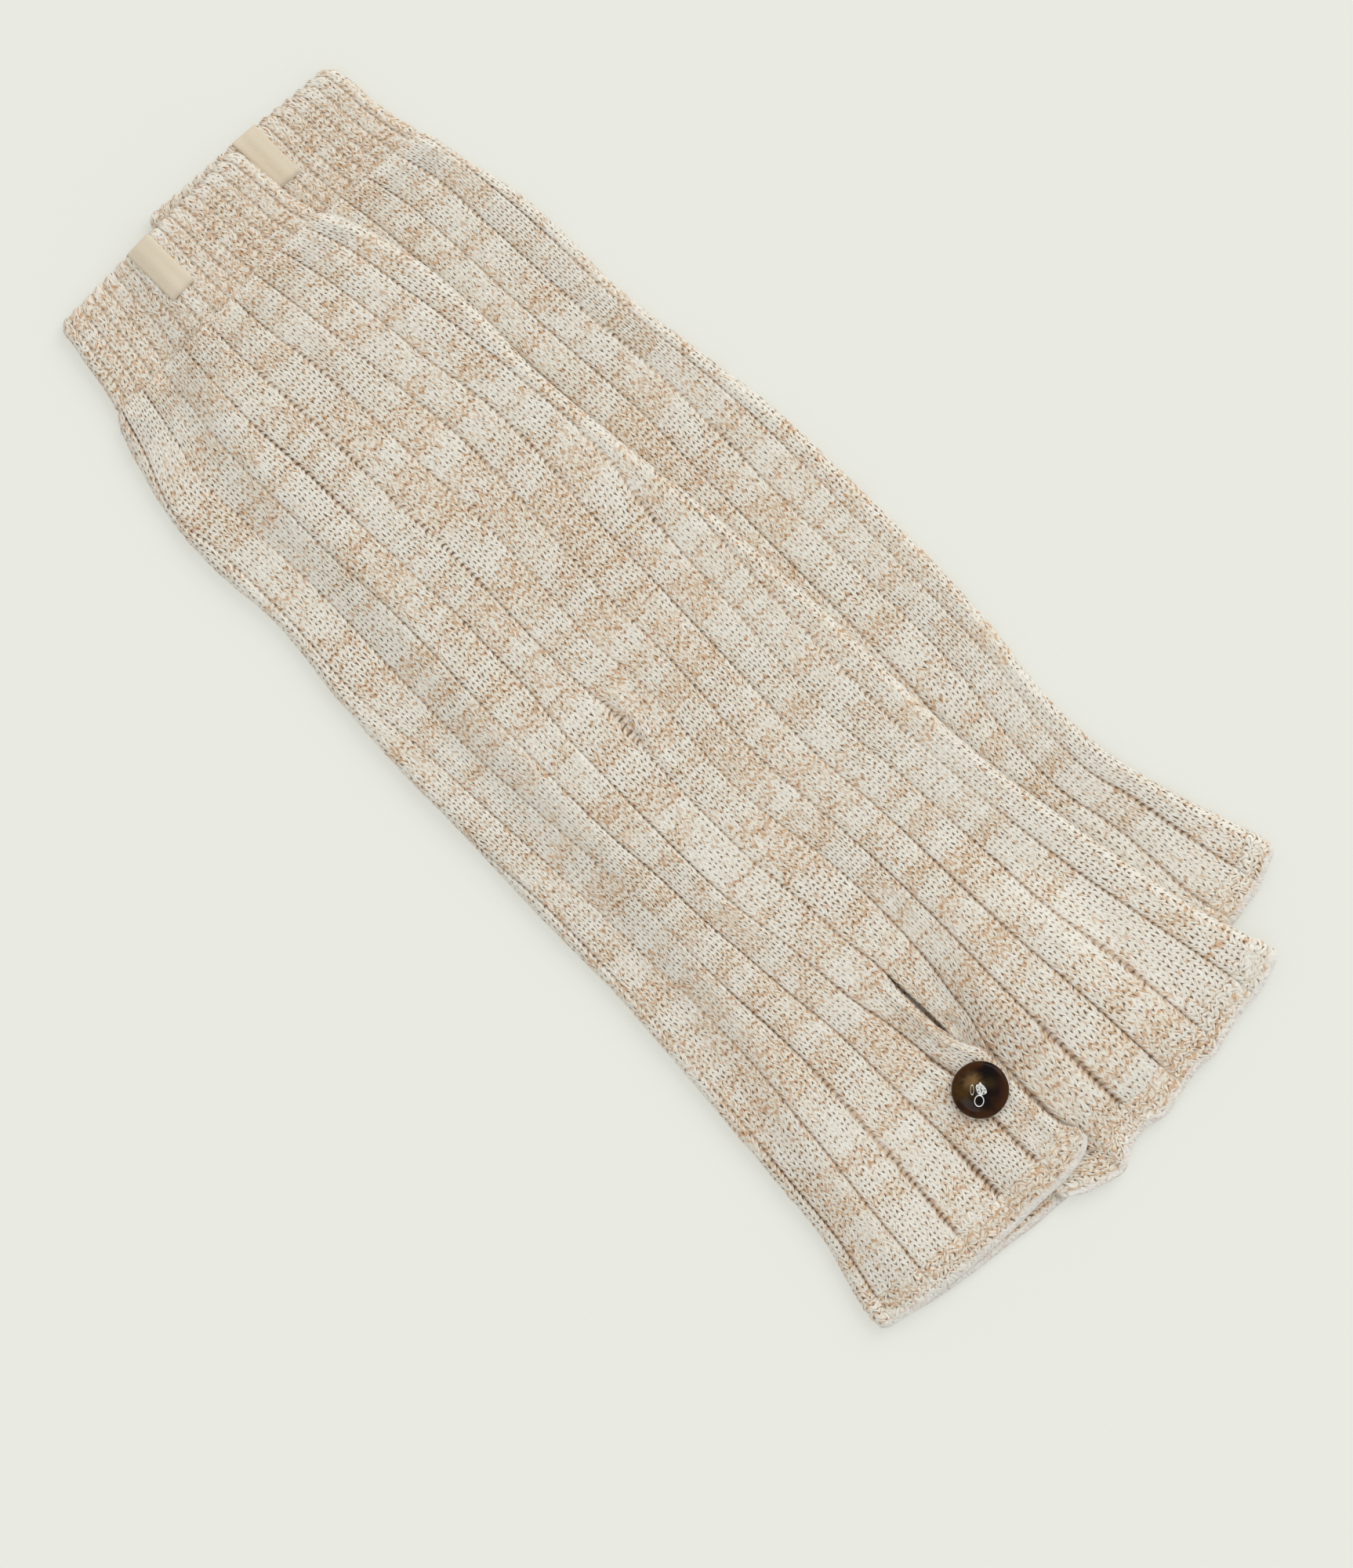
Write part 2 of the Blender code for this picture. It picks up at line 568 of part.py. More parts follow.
def build():
    for obj in list(bpy.data.objects):
        bpy.data.objects.remove(obj, do_unlink=True)
    collection = bpy.data.collections.new(COLLECTION)
    bpy.context.scene.collection.children.link(collection)
    wool = plain_material("marled cream knit", (0.78, 0.72, 0.63), 0.95)
    horn = plain_material("dark horn", (0.045, 0.022, 0.012), 0.25)
    thread = plain_material("white thread", (0.85, 0.84, 0.80), 0.8)
    tape = plain_material("beige woven tape", (0.62, 0.50, 0.36), 0.9)
    upper = Leg(
        "upper", UPPER_SECTIONS, UPPER_CUFF_SECTIONS, UPPER_HEM, UPPER_SLIT,
        0.0, CURL, lower_top, UPPER_BUTTON, UPPER_LABEL,
    )
    lower = Leg(
        "lower", LOWER_SECTIONS, LOWER_CUFF_SECTIONS, LOWER_HEM, LOWER_SLIT,
        LOWER_LEAN, 0.0, flat_surface, LOWER_BUTTON, LOWER_LABEL,
    )
    for leg, ys in ((upper, UPPER_LEG_YS), (lower, LOWER_LEG_YS)):
        make_cuff(leg, wool)
        make_leg(leg, ys, wool)
        make_hem(leg, ys[-1], wool)
        make_label(leg, tape)
        make_button(leg, horn)
        make_knot(leg, thread)
    centre(list(collection.objects))


build()
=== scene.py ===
"""The looks of a pair of ribbed knit leg warmers, laid flat, one across the other.

Lengths are in millimetres on the plan of the pair, x across the legs and y along
them towards the cuffs; MM and `home` bring them into the frame of the CAD. Wales are
counted from the slit line outwards, rows upwards from just below the hems.
"""

import math

import bmesh
import bpy
import numpy as np
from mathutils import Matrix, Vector


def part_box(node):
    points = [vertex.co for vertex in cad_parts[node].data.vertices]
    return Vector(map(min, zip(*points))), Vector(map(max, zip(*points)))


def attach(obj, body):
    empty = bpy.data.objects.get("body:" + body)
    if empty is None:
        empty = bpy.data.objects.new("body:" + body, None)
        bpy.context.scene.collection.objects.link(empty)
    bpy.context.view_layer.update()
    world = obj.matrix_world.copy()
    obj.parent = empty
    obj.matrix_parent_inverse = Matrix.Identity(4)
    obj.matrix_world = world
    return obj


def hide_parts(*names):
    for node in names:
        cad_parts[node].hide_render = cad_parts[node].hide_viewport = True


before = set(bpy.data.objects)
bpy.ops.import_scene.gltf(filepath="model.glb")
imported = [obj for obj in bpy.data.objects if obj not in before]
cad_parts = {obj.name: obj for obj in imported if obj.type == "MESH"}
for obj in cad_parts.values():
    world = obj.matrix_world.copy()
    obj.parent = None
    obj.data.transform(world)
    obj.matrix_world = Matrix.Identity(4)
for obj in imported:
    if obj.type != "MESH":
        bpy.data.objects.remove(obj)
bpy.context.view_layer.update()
bpy.ops.object.select_all(action="DESELECT")

MM = 0.001

# ---- Cloth, as the CAD has it ---------------------------------------------------
WALL = 2.3
HOLLOW = 0.8
FLAT = 2 * WALL + HOLLOW
RIB = 0.9
TURN = 2.7  # radius of a tube's rounded side
STACK = FLAT + RIB + 0.6  # how high the upper one lies on the lower one
DRAPE = 20.0  # width of the slope on which it comes down
CLEAR = 4.0  # room between that slope and the lower one
FLAP_LIFT = WALL + 0.4  # how high the left flap lies on the right one
FLAP_SLOPE = 14.0  # width of the slope on which it rises
FLAP_SWELL = 18.0  # width of the upper one's slopes over the lower one's flaps
BUTTON_SWELL = (35.0, 14.0)  # radii of its slope over the lower one's button
LENS = 8.0  # length of the slit's open part
CROSSING = 16.0  # length over which the flaps then come to cross
CURL = 2.5  # lift of the upper left flap's lower corner
SEAM = 0.3  # gap between two pieces
BUTTON_RADIUS = 10.15
BUTTON_HEIGHT = 4.0
CUFF_LINE = 232.0  # y where legs end and cuffs start
LEAN_END = 140.0  # y from which the lower one's cuff end slants
LOWER_LEAN = -0.082
UPPER_SLIT, LOWER_SLIT = -99.0, -71.0  # y of the slits' tops
UPPER_BUTTON, LOWER_BUTTON = (-0.5, -151.4), (40.5, -131.0)
UPPER_LABEL, LOWER_LABEL = 0.25, 53.9  # x of the labels' middles
LOWER_HEM_LEVEL = -175.0

# ---- The knit ---------------------------------------------------------------------
RIB_WALES = 6  # five knit wales and the purl one beside them
HALF_RIBS = 10  # ribs from the slit line to the middle of the bottom layer
PANEL_RIBS = 6  # ribs whose places come from the tables
LOWER_LEFT_RIBS = 4.8  # ribs in the lower leg's hidden left half
SLANT = 1.5  # rows that a stitch's legs climb from its middle to its side
STRAIGHT, CUFF_STRAIGHT = 3, 2  # rows over which they come to lie flat at a piece's ends
STITCH_STEPS = 2  # rows of the mesh to a row of stitches
STRAND = 0.21  # height of a strand of the knit
FUZZ, CUFF_FUZZ = 0.10, 0.12  # unevenness of the strands
DOME = 1.15  # height of a rib's middle over its purl lines
ROUND = 2.4  # how near its purl lines a rib's top bends down
FIRM, FIRM_BELOW, FIRM_UNEVEN = 0.58, 0.16, 0.36  # roundness of the ribs, and its changes
MOSS = 0.36  # half the height of the moss stitch's bumps
HEM_FULL = 0.45  # the hem band's full middle
HEM_ROLL = 1.7  # how far the hem's edge rolls down
FLAP_EDGE = 1.3  # wales of a flap's free edge that roll under
FLAP_ROLL = 1.3  # how far the left flap's curled edge stands up
PRESSED = 0.3  # how far the right flap is pressed down by the left one
GATHER, GATHER_UNEVEN = 0.55, 0.45  # how much higher and rougher ribs are below the cuff
SIDE_PAD, CUFF_PAD = 0.55, 0.35  # room left for the knit at a tube's side
UNDERSIDE = (0.35, 0.45)  # share of the knit's height left on the underside, and how deep it lies
CUFF_UNDERSIDE = (0.3, 0.4)
# Heights of a row of stitches, as y:height.
PITCHES = "-200:2.2 -182:2.25 -160:2.35 -140:2.45 200:2.45 215:2.25 232:2.0 240:2.3 280:2.3"

# Lines of the upper leg, as y:x: its sides, purl wales and the flaps' free edges.
UPPER_LINES = {
    "left": "-194:-85.5 -182:-83.5 -150:-76.5 -138:-75.3 -125:-74.3 -112:-73 -99:-72 -70:-69.5"
    " -35:-67.2 0:-67 35:-66 70:-65.5 105:-63.2 140:-59.5 170:-61.5 195:-59.5 215:-54 232:-47.5",
    "l5": "-194:-80 -182:-78 -150:-72.5 -138:-71.5 -125:-70.5 -112:-69.2 -100:-68 -80:-66"
    " -40:-64 10:-63.5 30:-65 70:-68.5 105:-71 140:-69 170:-69 195:-70 215:-62 232:-54",
    "l4": "-194:-61.5 -182:-60 -150:-57 -138:-55.5 -125:-54 -112:-52.8 -100:-51.5 -60:-50"
    " -40:-50.5 0:-51.5 40:-53.5 80:-55.5 100:-57.5 140:-55.5 170:-56 195:-57.5 215:-50 232:-45",
    "l3": "-194:-43 -180:-42 -150:-39.5 -125:-38 -100:-37 -60:-38.5 -20:-38.5 0:-39.5"
    " 30:-41.5 60:-43 95:-42.5 140:-41 170:-42 195:-42.5 215:-38 232:-34.5",
    "l2": "-194:-22.5 -180:-22 -150:-21 -125:-21.5 -100:-22 -80:-24 -60:-25.5 -40:-27"
    " -20:-27.5 0:-29 60:-29 120:-28 140:-29 170:-29 195:-29 215:-27 232:-25",
    "l1": "-194:-3 -182:-4 -150:-4 -140:-3.5 -135:-4.5 -125:-5.5 -112:-7 -100:-9.5 -80:-11.5"
    " -60:-13.5 -50:-15 -35:-16.2 -20:-16.5 20:-16 40:-15.5 60:-13.5 80:-13 100:-12.5 110:-13"
    " 140:-14 170:-14.5 195:-15.8 215:-15.2 232:-14",
    "flap": "-194:14.5 -190:14.5 -183:11.8 -165:10 -150:10.3 -142:10.6 -137:8 -130:5.2 -122:4.5"
    " -112:4.3 -105:4.3 -99:5 -80:3 -60:2 -50:1 -40:0 -20:-0.5 10:0 35:2 45:1 70:0.5 90:1"
    " 110:1.5 140:0.5 170:0 195:-1 215:-2 232:-2",
    "under": "-194:-7 -182:-8 -150:-8 -139:-1 -131:4.9 -122:5.6 -112:5.4 -105:5.1 -99:5 -80:3"
    " -60:2 -50:1 -40:0 -20:-0.5 10:0 35:2 45:1 70:0.5 90:1 110:1.5 140:0.5 170:0 195:-1"
    " 215:-2 232:-2",
    "r1": "-194:16 -182:12 -150:11.5 -142:12 -130:15.3 -120:16.5 -107:18.5 -100:19 -70:19.5"
    " -50:18 -30:15 -10:14 10:15 35:16.5 55:14.5 70:15 110:17 140:16 170:15.5 195:14 215:11.3"
    " 232:10.5",
    "r2": "-194:31.5 -182:31 -150:30.5 -125:30.5 -100:31 -80:31 -40:29 -10:27 20:29 80:30"
    " 105:31.5 140:32.5 170:29.5 195:26.8 215:24.5 232:22",
    "r3": "-194:51.5 -182:50.5 -150:48.5 -125:46.5 -100:45.5 -60:44.5 -20:42 0:43 60:45 90:46"
    " 120:48 140:47.5 170:43.5 195:41 215:38 232:34",
    "r4": "-194:71 -182:69.5 -150:66 -125:62 -100:60.5 -60:58.5 -10:55.5 0:56 45:58.5 70:60"
    " 95:63.5 115:64 140:62 170:59 195:55 215:51.5 232:46",
    "r5": "-194:92 -182:90 -150:83.5 -125:78.5 -100:75 -70:72 -40:70 0:70 45:71.5 70:73.5"
    " 105:78 140:76 170:73 195:68 215:64 232:57",
    "right": "-194:109 -182:105 -150:96 -138:93.7 -125:91.5 -112:89.2 -99:87 -70:82.7 -35:81"
    " 0:80 35:78 70:74.8 105:70.5 140:67.5 170:68 195:66 215:61 232:53.5",
}
# The lower leg: its hidden wales are even.
LOWER_LINES = {
    "left": "-167:-56 -155:-54 -125:-49 -112:-46 -99:-42 -84:-39 -71:-36 -35:-31 0:-28 35:-26"
    " 70:-24 106:-21 140:-19.5 170:-20 195:-16.5 215:-10 232:1",
    "flap": "-167:54 -155:51 -125:50 -112:47 -99:41 -84:38 -71:38 -35:40 0:41 35:41.5 70:42"
    " 106:42 140:41 170:41 195:40.5 215:40 232:40",
    "under": "-167:32.5 -155:32.5 -125:32.5 -112:35 -99:40.4 -84:40.3 -71:38 -35:40 0:41"
    " 35:41.5 70:42 106:42 140:41 170:41 195:40.5 215:40 232:40",
    "r3": "-167:88 -155:86 -125:82 -112:81 -99:80 -84:79.5 -70:79.5 -35:82.5 0:83.3 35:83.5"
    " 70:83.5 100:84 140:81.5 170:80 195:79 215:77.5 232:74",
    "r4": "-167:105 -150:101 -135:100 -125:99.5 -115:98 -100:94.5 -90:94 -75:94.3 -60:96"
    " -40:98.5 -20:99 0:98.5 40:97.5 70:98 100:98 120:97 140:95 170:93.5 195:92.2 215:91 232:87",
    "r5": "-167:121 -158:119 -135:114 -125:112 -115:110 -100:106 -88:105.5 -75:106 -60:108"
    " -40:110 -20:110.5 20:111 80:110.5 100:109 120:107 140:105.5 170:104.7 195:103.2 215:101"
    " 232:98",
    "right": "-167:134 -155:131 -125:121.8 -112:118 -99:115.4 -84:114 -71:114 -35:118.2"
    " 0:119.5 35:119 70:117.7 106:113 140:108.7 170:109 195:107 215:102.5 232:99",
}
# Creases of the upper leg: from x, y to x, y, half width and height.
CREASES = (
    (6.5, 36, 5, 22, 3.0, 1.3), (5, 22, 2.5, 4, 2.2, 0.7), (-18, 40, -18.5, -38, 2.4, 0.6),
    (-18, -40, -13, -72, 2.4, 0.6), (1, 31, 2, 24, 2.2, -0.8), (-70, 60, -62, 10, 6, 0.6),
    (60, 150, 46, 215, 5, 0.5), (12, -104, 17, -134, 3.0, -0.5), (24, 212, 20, 180, 4, 0.5),
    (-5.5, -131, -3.2, -141, 1.2, -1.4), (-9, -128, -8, -142, 2.2, 0.5),
)
# Where a purl wale is stretched open: line, from y, to y, width.
UPPER_LADDERS = (
    ("l0", 95, 205, 1.4), ("l0", 23, 36, 4.4), ("r3", 95, 155, 1.3), ("r4", 66, 108, 1.6),
    ("r5", -48, 48, 1.3), ("l3", -192, -105, 1.5), ("l2", -186, -163, 1.9), ("l1", -192, -160, 1.6),
    ("r1", -186, -160, 1.6), ("r2", -192, -146, 1.9), ("r4", -162, -142, 1.6),
    ("r1", 105, 150, 1.1), ("r2", 108, 150, 1.1), ("l1", 150, 200, 1.0), ("r1", 170, 215, 1.1),
)
LOWER_LADDERS = (("r4", 60, 150, 1.1), ("r5", -140, -110, 1.2), ("r4", 190, 222, 1.1))
CLOSED = 0.55  # width of a purl wale that is shut between its ribs
NARROWEST = 0.35  # the least width of one
LADDER_END = 7.0  # length over which a ladder opens

# The hem's edge, as x:y, of the left flap, the right flap and the bottom layer.
UPPER_HEM = (
    "-86:-187.5 -80:-189.6 -61:-192.5 -43:-194 -22:-195 -3:-195.4 8:-194 12:-192.5 15:-189.5",
    "-8:-199.5 -4:-201.5 0:-204 5:-206 10:-207.3 18:-207.5 21:-205 30:-203 41:-204.5 50:-202.5"
    " 60:-201.2 68:-201.8 80:-199 90:-198 100:-196 109:-191.5",
    "-86:-187.5 -60:-194 -40:-197 -20:-199.6 0:-200.5 20:-201 60:-199 109:-191.5",
)
LOWER_HEM = (
    "-56:-162 -30:-165 0:-168 40:-168 54:-166",
    "32:-173 50:-177 70:-176 88:-175.5 105:-173.5 121:-170 134:-164.5",
    "-56:-162 0:-170 40:-172 90:-171 134:-164.5",
)
HEM_WAVE = 0.75  # height of the edge's small waves
TUCK, CUFF_TUCK = 1.0, 1.5  # how far a piece's end reaches under its neighbour's
HEM_STEPS = 19  # rows of the hem band's mesh

# The cuffs' sides, as y:x, and their ribs.
UPPER_CUFF = {
    "left": "232:-47.2 240:-44.7 250:-43 261:-41 266.3:-40 268:-38.5",
    "right": "232:53.3 240:51 250:50 261:49 266.3:48 268:46.5",
}
LOWER_CUFF = {
    "left": "232:1.2 240:3.3 250:5.5 263:7.4 268.8:8.6 270.5:10.2",
    "right": "232:98.8 240:96.7 250:95 263:94 268.8:92.3 270.5:90",
}
CUFF_RIBS = 32  # two-by-two ribs all round
CUFF_RIB = 0.4  # their height
CUFF_WALES = 3  # two knit wales and the purl ones folded in beside them


# ---- Curves ------------------------------------------------------------------------
def knots(text):
    """Two rows of numbers from "a:b a:b"."""
    return np.array([item.split(":") for item in text.split()], float).T


def curve(line, at):
    """A smooth curve through a line's points."""
    keys, values = line
    at = np.clip(at, keys[0], keys[-1])
    slopes = np.gradient(values, keys)
    i = np.clip(np.searchsorted(keys, at) - 1, 0, len(keys) - 2)
    span = keys[i + 1] - keys[i]
    t = (at - keys[i]) / span
    return (
        values[i] * (1 - t) ** 2 * (1 + 2 * t)
        + values[i + 1] * t * t * (3 - 2 * t)
        + slopes[i] * span * t * (1 - t) ** 2
        - slopes[i + 1] * span * t * t * (1 - t)
    )


def step(start, end, at):
    """0 before start, 1 after end, and a smooth rise between; end may be the lower."""
    share = np.clip((at - start) / (end - start), 0.0, 1.0)
    return share * share * (3 - 2 * share)


def ripple(seed, *places):
    """Soft noise from -1 to 1, the same each time: waves of unlike lengths and slants."""
    rng = np.random.default_rng(seed)
    total = 0.0
    for _ in range(7):
        tilt = rng.uniform(-1, 1, len(places))
        phase, length = rng.uniform(0, 2 * math.pi), rng.uniform(0.55, 1.6)
        total = total + np.sin(sum(t * p for t, p in zip(tilt, places)) / length + phase)
    return total / 4


def off_purl(wales, rib):
    """How many wales away the nearest purl line is."""
    inside = np.mod(wales, rib)
    return np.minimum(inside, rib - inside)


def off_wale(wales):
    """0 in the middle of a wale and 1 between two wales."""
    return np.abs(2 * (wales - np.round(wales)))


def row_crest(rows):
    """0 at whole rows and 1 half way between them."""
    return 0.5 - 0.5 * np.cos(2 * math.pi * rows)


lines_of = {
    "upper": {name: knots(text) for name, text in UPPER_LINES.items()},
    "lower": {name: knots(text) for name, text in LOWER_LINES.items()},
}
cuffs_of = {
    "upper": {name: knots(text) for name, text in UPPER_CUFF.items()},
    "lower": {name: knots(text) for name, text in LOWER_CUFF.items()},
}
hems_of = {
    "upper": [knots(text) for text in UPPER_HEM],
    "lower": [knots(text) for text in LOWER_HEM],
}
ladders_of = {"upper": UPPER_LADDERS, "lower": LOWER_LADDERS}
slit_of = {"upper": UPPER_SLIT, "lower": LOWER_SLIT}
lean_of = {"upper": 0.0, "lower": LOWER_LEAN}
curl_of = {"upper": CURL, "lower": 0.0}
hem_top_of = {"upper": -182.0, "lower": -155.0}
hem_end_of = {"upper": -194.0, "lower": -167.0}

# The CAD's frame: its upper button sits at UPPER_BUTTON on the plan.
low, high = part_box("upper_button")
home = Vector(((low.x + high.x) / 2, (low.y + high.y) / 2, 0)) - Vector((*UPPER_BUTTON, 0)) * MM


PLAN_START, PLAN_END, PLAN_STEP = -215.0, 285.0, 0.5  # y from below the hems to past the cuffs


def row_scale():
    """Rows counted upwards at each y, from the pitches."""
    ys = np.arange(PLAN_START, PLAN_END, PLAN_STEP)
    pitch = np.interp(ys, *knots(PITCHES))
    rows = np.concatenate([[0.0], np.cumsum(PLAN_STEP / pitch[:-1])])
    return ys, rows


ROW_YS, ROW_COUNTS = row_scale()


def rows_at(y):
    return np.interp(y, ROW_YS, ROW_COUNTS)


def y_at(rows):
    return np.interp(rows, ROW_COUNTS, ROW_YS)


def lower_top(x, y):
    """Height of the upper leg warmer's underside over what it lies on."""
    legs = lines_of["lower"]
    on_cuff = y > CUFF_LINE
    side = np.where(on_cuff, curve(cuffs_of["lower"]["left"], y), curve(legs["left"], y)) - CLEAR
    end = LOWER_HEM_LEVEL - CLEAR
    on_leg = step(side - DRAPE, side, x) * step(end - DRAPE, end, y)
    from_left = curve(legs["under"], y) - CLEAR
    from_right = curve(legs["flap"], y) + CLEAR
    on_flap = step(from_left - FLAP_SWELL, from_left, x)
    on_flap = on_flap * step(from_right + FLAP_SWELL, from_right, x)
    on_flap = on_flap * step(LOWER_SLIT, LOWER_SLIT - CROSSING, y)
    reach = np.hypot(x - LOWER_BUTTON[0], y - LOWER_BUTTON[1])
    on_button = step(*BUTTON_SWELL, reach)
    return on_leg * (STACK + FLAP_LIFT * on_flap + (BUTTON_HEIGHT + 2 * SEAM) * on_button)


def rise_of(which, x, y):
    return lower_top(x, y) if which == "upper" else 0.0 * x


def crease(x, y):
    """Height of the upper leg's creases: soft ridges and troughs in its top layer."""
    total = 0.0 * x
    for x0, y0, x1, y1, wide, height in CREASES:
        length = math.hypot(x1 - x0, y1 - y0)
        ux, uy = (x1 - x0) / length, (y1 - y0) / length
        along = np.clip((x - x0) * ux + (y - y0) * uy, 0, length)
        away = np.hypot(x - x0 - along * ux, y - y0 - along * uy)
        total = total + height * np.exp(-((away / wide) ** 2))
    return total


# ---- A leg's cloth -------------------------------------------------------------------
def columns(count, fine=True):
    """Wales from a rib's first purl line outwards, over this many ribs.

    Fine ones are a quarter of a wale apart, plain ones just purl lines and ribs' middles."""
    quarters = [0.5 + 0.25 * k for k in range(4 * (RIB_WALES - 1) + 1)]
    inside = [0.0] + (quarters if fine else [RIB_WALES / 2])
    found = [RIB_WALES * rib + k for rib in range(count) for k in inside]
    return np.array(found + [RIB_WALES * count], float)


def purl_places(which, side, y):
    """x of the purl lines 0 to PANEL_RIBS on one side, and how wide each is."""
    lines = lines_of[which]
    first = curve(lines["flap" if side < 0 else "under"], y)
    letter = "l" if side < 0 else "r"
    places = [first]
    if which == "upper":
        places += [curve(lines[f"{letter}{i}"], y) for i in range(1, 6)]
    elif side < 0:
        pitch = (first - curve(lines["left"], y)) / LOWER_LEFT_RIBS
        places += [first - i * pitch for i in range(1, 6)]
    else:
        third = curve(lines["r3"], y)
        places += [first + (third - first) * i / 3 for i in (1, 2)] + [third]
        places += [curve(lines["r4"], y), curve(lines["r5"], y)]
    places.append(2 * places[-1] - places[-2])
    widths = []
    for i in range(PANEL_RIBS + 1):
        width = CLOSED + 0.25 * ripple(i + 40 * (side > 0), y / 9.0)
        for name, start, end, open_width in ladders_of[which]:
            if name == f"{letter}{i}" or (name == "l0" and i == 0):
                share = step(start - LADDER_END, start + LADDER_END, y)
                share = share * step(end + LADDER_END, end - LADDER_END, y)
                width = width + (open_width - CLOSED) * share
        widths.append(np.maximum(width, NARROWEST))
    return places, widths


def wale_x(which, side, wales, y):
    """x of a wale on the cloth spread out flat, past the side too, and the ladder's width there."""
    places, widths = purl_places(which, side, y)
    rib = np.minimum(wales // RIB_WALES, HALF_RIBS - 1).astype(int)
    inside = wales - RIB_WALES * rib
    on_panel = np.minimum(rib, PANEL_RIBS - 1)
    stacked, broad = np.stack(places), np.stack(widths)
    grid = np.indices(np.broadcast(wales, y).shape)
    index = np.broadcast_to(on_panel, grid[0].shape)
    pick = (index, *grid)
    nxt = (index + 1, *grid)
    start, end = stacked[pick], stacked[nxt]
    gap_start, gap_end = broad[pick], broad[nxt]
    share = np.clip((inside - 0.5) / (RIB_WALES - 1), 0, 1)
    x = (start + side * gap_start / 2) * (1 - share) + (end - side * gap_end / 2) * share
    x = np.where(inside == 0, start, np.where(inside == RIB_WALES, end, x))
    gap = np.where(inside < RIB_WALES / 2, gap_start, gap_end)
    return x, gap, places


def strands(wales, rows):
    """Height of the stitches' strands: full along a stitch's legs, deep between them."""
    crest = row_crest(rows)
    leg = np.sin(math.pi * off_wale(wales)) ** 2
    return STRAND * (crest * (0.5 + 0.5 * leg) - 0.8 * (1 - leg) * (1 - crest))


def rib_fall(wales):
    """How far a rib's top has come down: 0 in its middle and 1 at its purl lines."""
    return np.abs(1 - off_purl(wales, RIB_WALES) / (RIB_WALES / 2)) ** ROUND


def stitch_relief(wales, rows, gap, firm):
    """Height of the knit over a plain cloth: domed ribs, shut or open purl lines, strands.

    firm is 1 where the ribs stand round and close, and less where the cloth is spread."""
    from_purl = off_purl(wales, RIB_WALES)
    crest = row_crest(rows)
    dome = DOME * (1 - firm * rib_fall(wales))
    relief = dome + strands(wales, rows) - 0.1 * STRAND + FUZZ * ripple(3, wales * 1.9, rows * 1.7)
    opened = np.clip((gap - CLOSED) / 1.4, 0, 1)
    edge = DOME * (1 - 0.6 * firm) - 0.1 - 0.2 * (1 - crest)
    ladder = edge - 1.15 * firm * firm + 0.3 * opened * crest
    relief = np.where(from_purl < 0.6, edge, relief)
    return np.where(from_purl < 0.3, ladder, relief)


def moss_relief(wales, rows, share):
    """Height of the moss-stitch band: staggered bumps, a full middle and a rolled edge.

    share is 0 at the band's top and 1 at the hem's edge."""
    bumps = np.cos(math.pi * wales) * np.cos(math.pi * rows)
    dome = DOME * (1 - rib_fall(wales)) * (1 - 0.75 * step(0.1, 0.7, share))
    full = HEM_FULL * np.sin(math.pi * np.clip(share, 0, 1)) + 0.2 * step(0, 0.3, share)
    rolled = HEM_ROLL * quarter_round(np.clip((share - 0.75) / 0.25, 0, 1))
    uneven = ripple(5, wales * 1.1, rows * 1.3)
    knobs = MOSS * (bumps * (0.7 + 0.5 * ripple(6, wales * 0.6, rows * 0.4)) + 0.8 * uneven)
    tucked = 0.9 * step(0, -0.03, share)
    return dome + full + knobs * step(0, 0.25, share) - rolled - tucked


def quarter_round(share):
    """How far an edge has rolled down: 0 at share 0, 1 at share 1, along a quarter circle."""
    return 1 - np.sqrt(np.clip(1 - share**2, 0, 1))


def slanted(wales, rows, rib, first, last, fade):
    """Rows along a stitch's legs, which climb from the middle of a knit wale to its sides.

    They climb less and less over fade rows towards the first row and the last."""
    ends = np.clip(np.minimum(rows - first, last - rows) / fade, 0, 1)
    knit = off_purl(wales, rib) >= 0.5
    return rows - np.where(knit, SLANT * ends * (1 - off_wale(wales)), 0.0)


def round_the_side(far, room, outer):
    """Brings lengths along the cloth round a tube's side, past a flat stretch of room.

    It gives how far out they end, the angle that they have turned, and z."""
    past = far - room
    angle = np.clip(past / TURN, 0, math.pi)
    radius = TURN if outer else HOLLOW / 2
    turned = np.where(angle < math.pi, room, room - (past - math.pi * TURN))
    out = np.where(past < 0, far, turned) + radius * np.sin(angle) * (angle < math.pi)
    return out, angle, FLAT / 2 + radius * np.cos(angle)


def laid(relief, angle, kept, sunk):
    """Presses the knit in on the underside: a share of its height is kept, and it is sunk."""
    bottom = step(0.7, 1.0, angle / math.pi)
    return relief * (1 - bottom) + (kept * relief - sunk) * bottom


def crossed(which, y):
    """0 where the slit is open and 1 where its left flap lies over the right one."""
    start = slit_of[which] - LENS
    return step(start, start - CROSSING, y)


def edged(which, side, wales, rows, x, y, relief, band):
    """The relief with the flaps' free edges: rolled, and the right one pressed down."""
    slit, flap = slit_of[which], lines_of[which]["flap"]
    below = y < slit
    if side > 0:
        cover = np.maximum(curve(flap, y), curve(flap, y - 12))
        beside = step(cover - 1, cover + 2.5, x)
        shown = np.where(below, np.maximum(1 - crossed(which, y), beside), 1.0)
        relief = relief * shown - PRESSED * (1 - shown)
    # the edge stands up a little, then turns down to its rim
    rolled = 0.75 - 1.4 * (1 - np.minimum(wales / FLAP_EDGE, 1)) ** 4
    rolled = rolled + 0.15 * np.cos(2 * math.pi * rows) * (wales > 0.1)
    if band:
        rolled = np.minimum(rolled, relief)
    relief = np.where(below & (wales < FLAP_EDGE), rolled, relief)
    if side < 0 and not band:
        cord = np.exp(-((wales - 1.5) ** 2)) * step(slit + 4, slit - 12, y)
        relief = relief + FLAP_ROLL * cord
    return relief


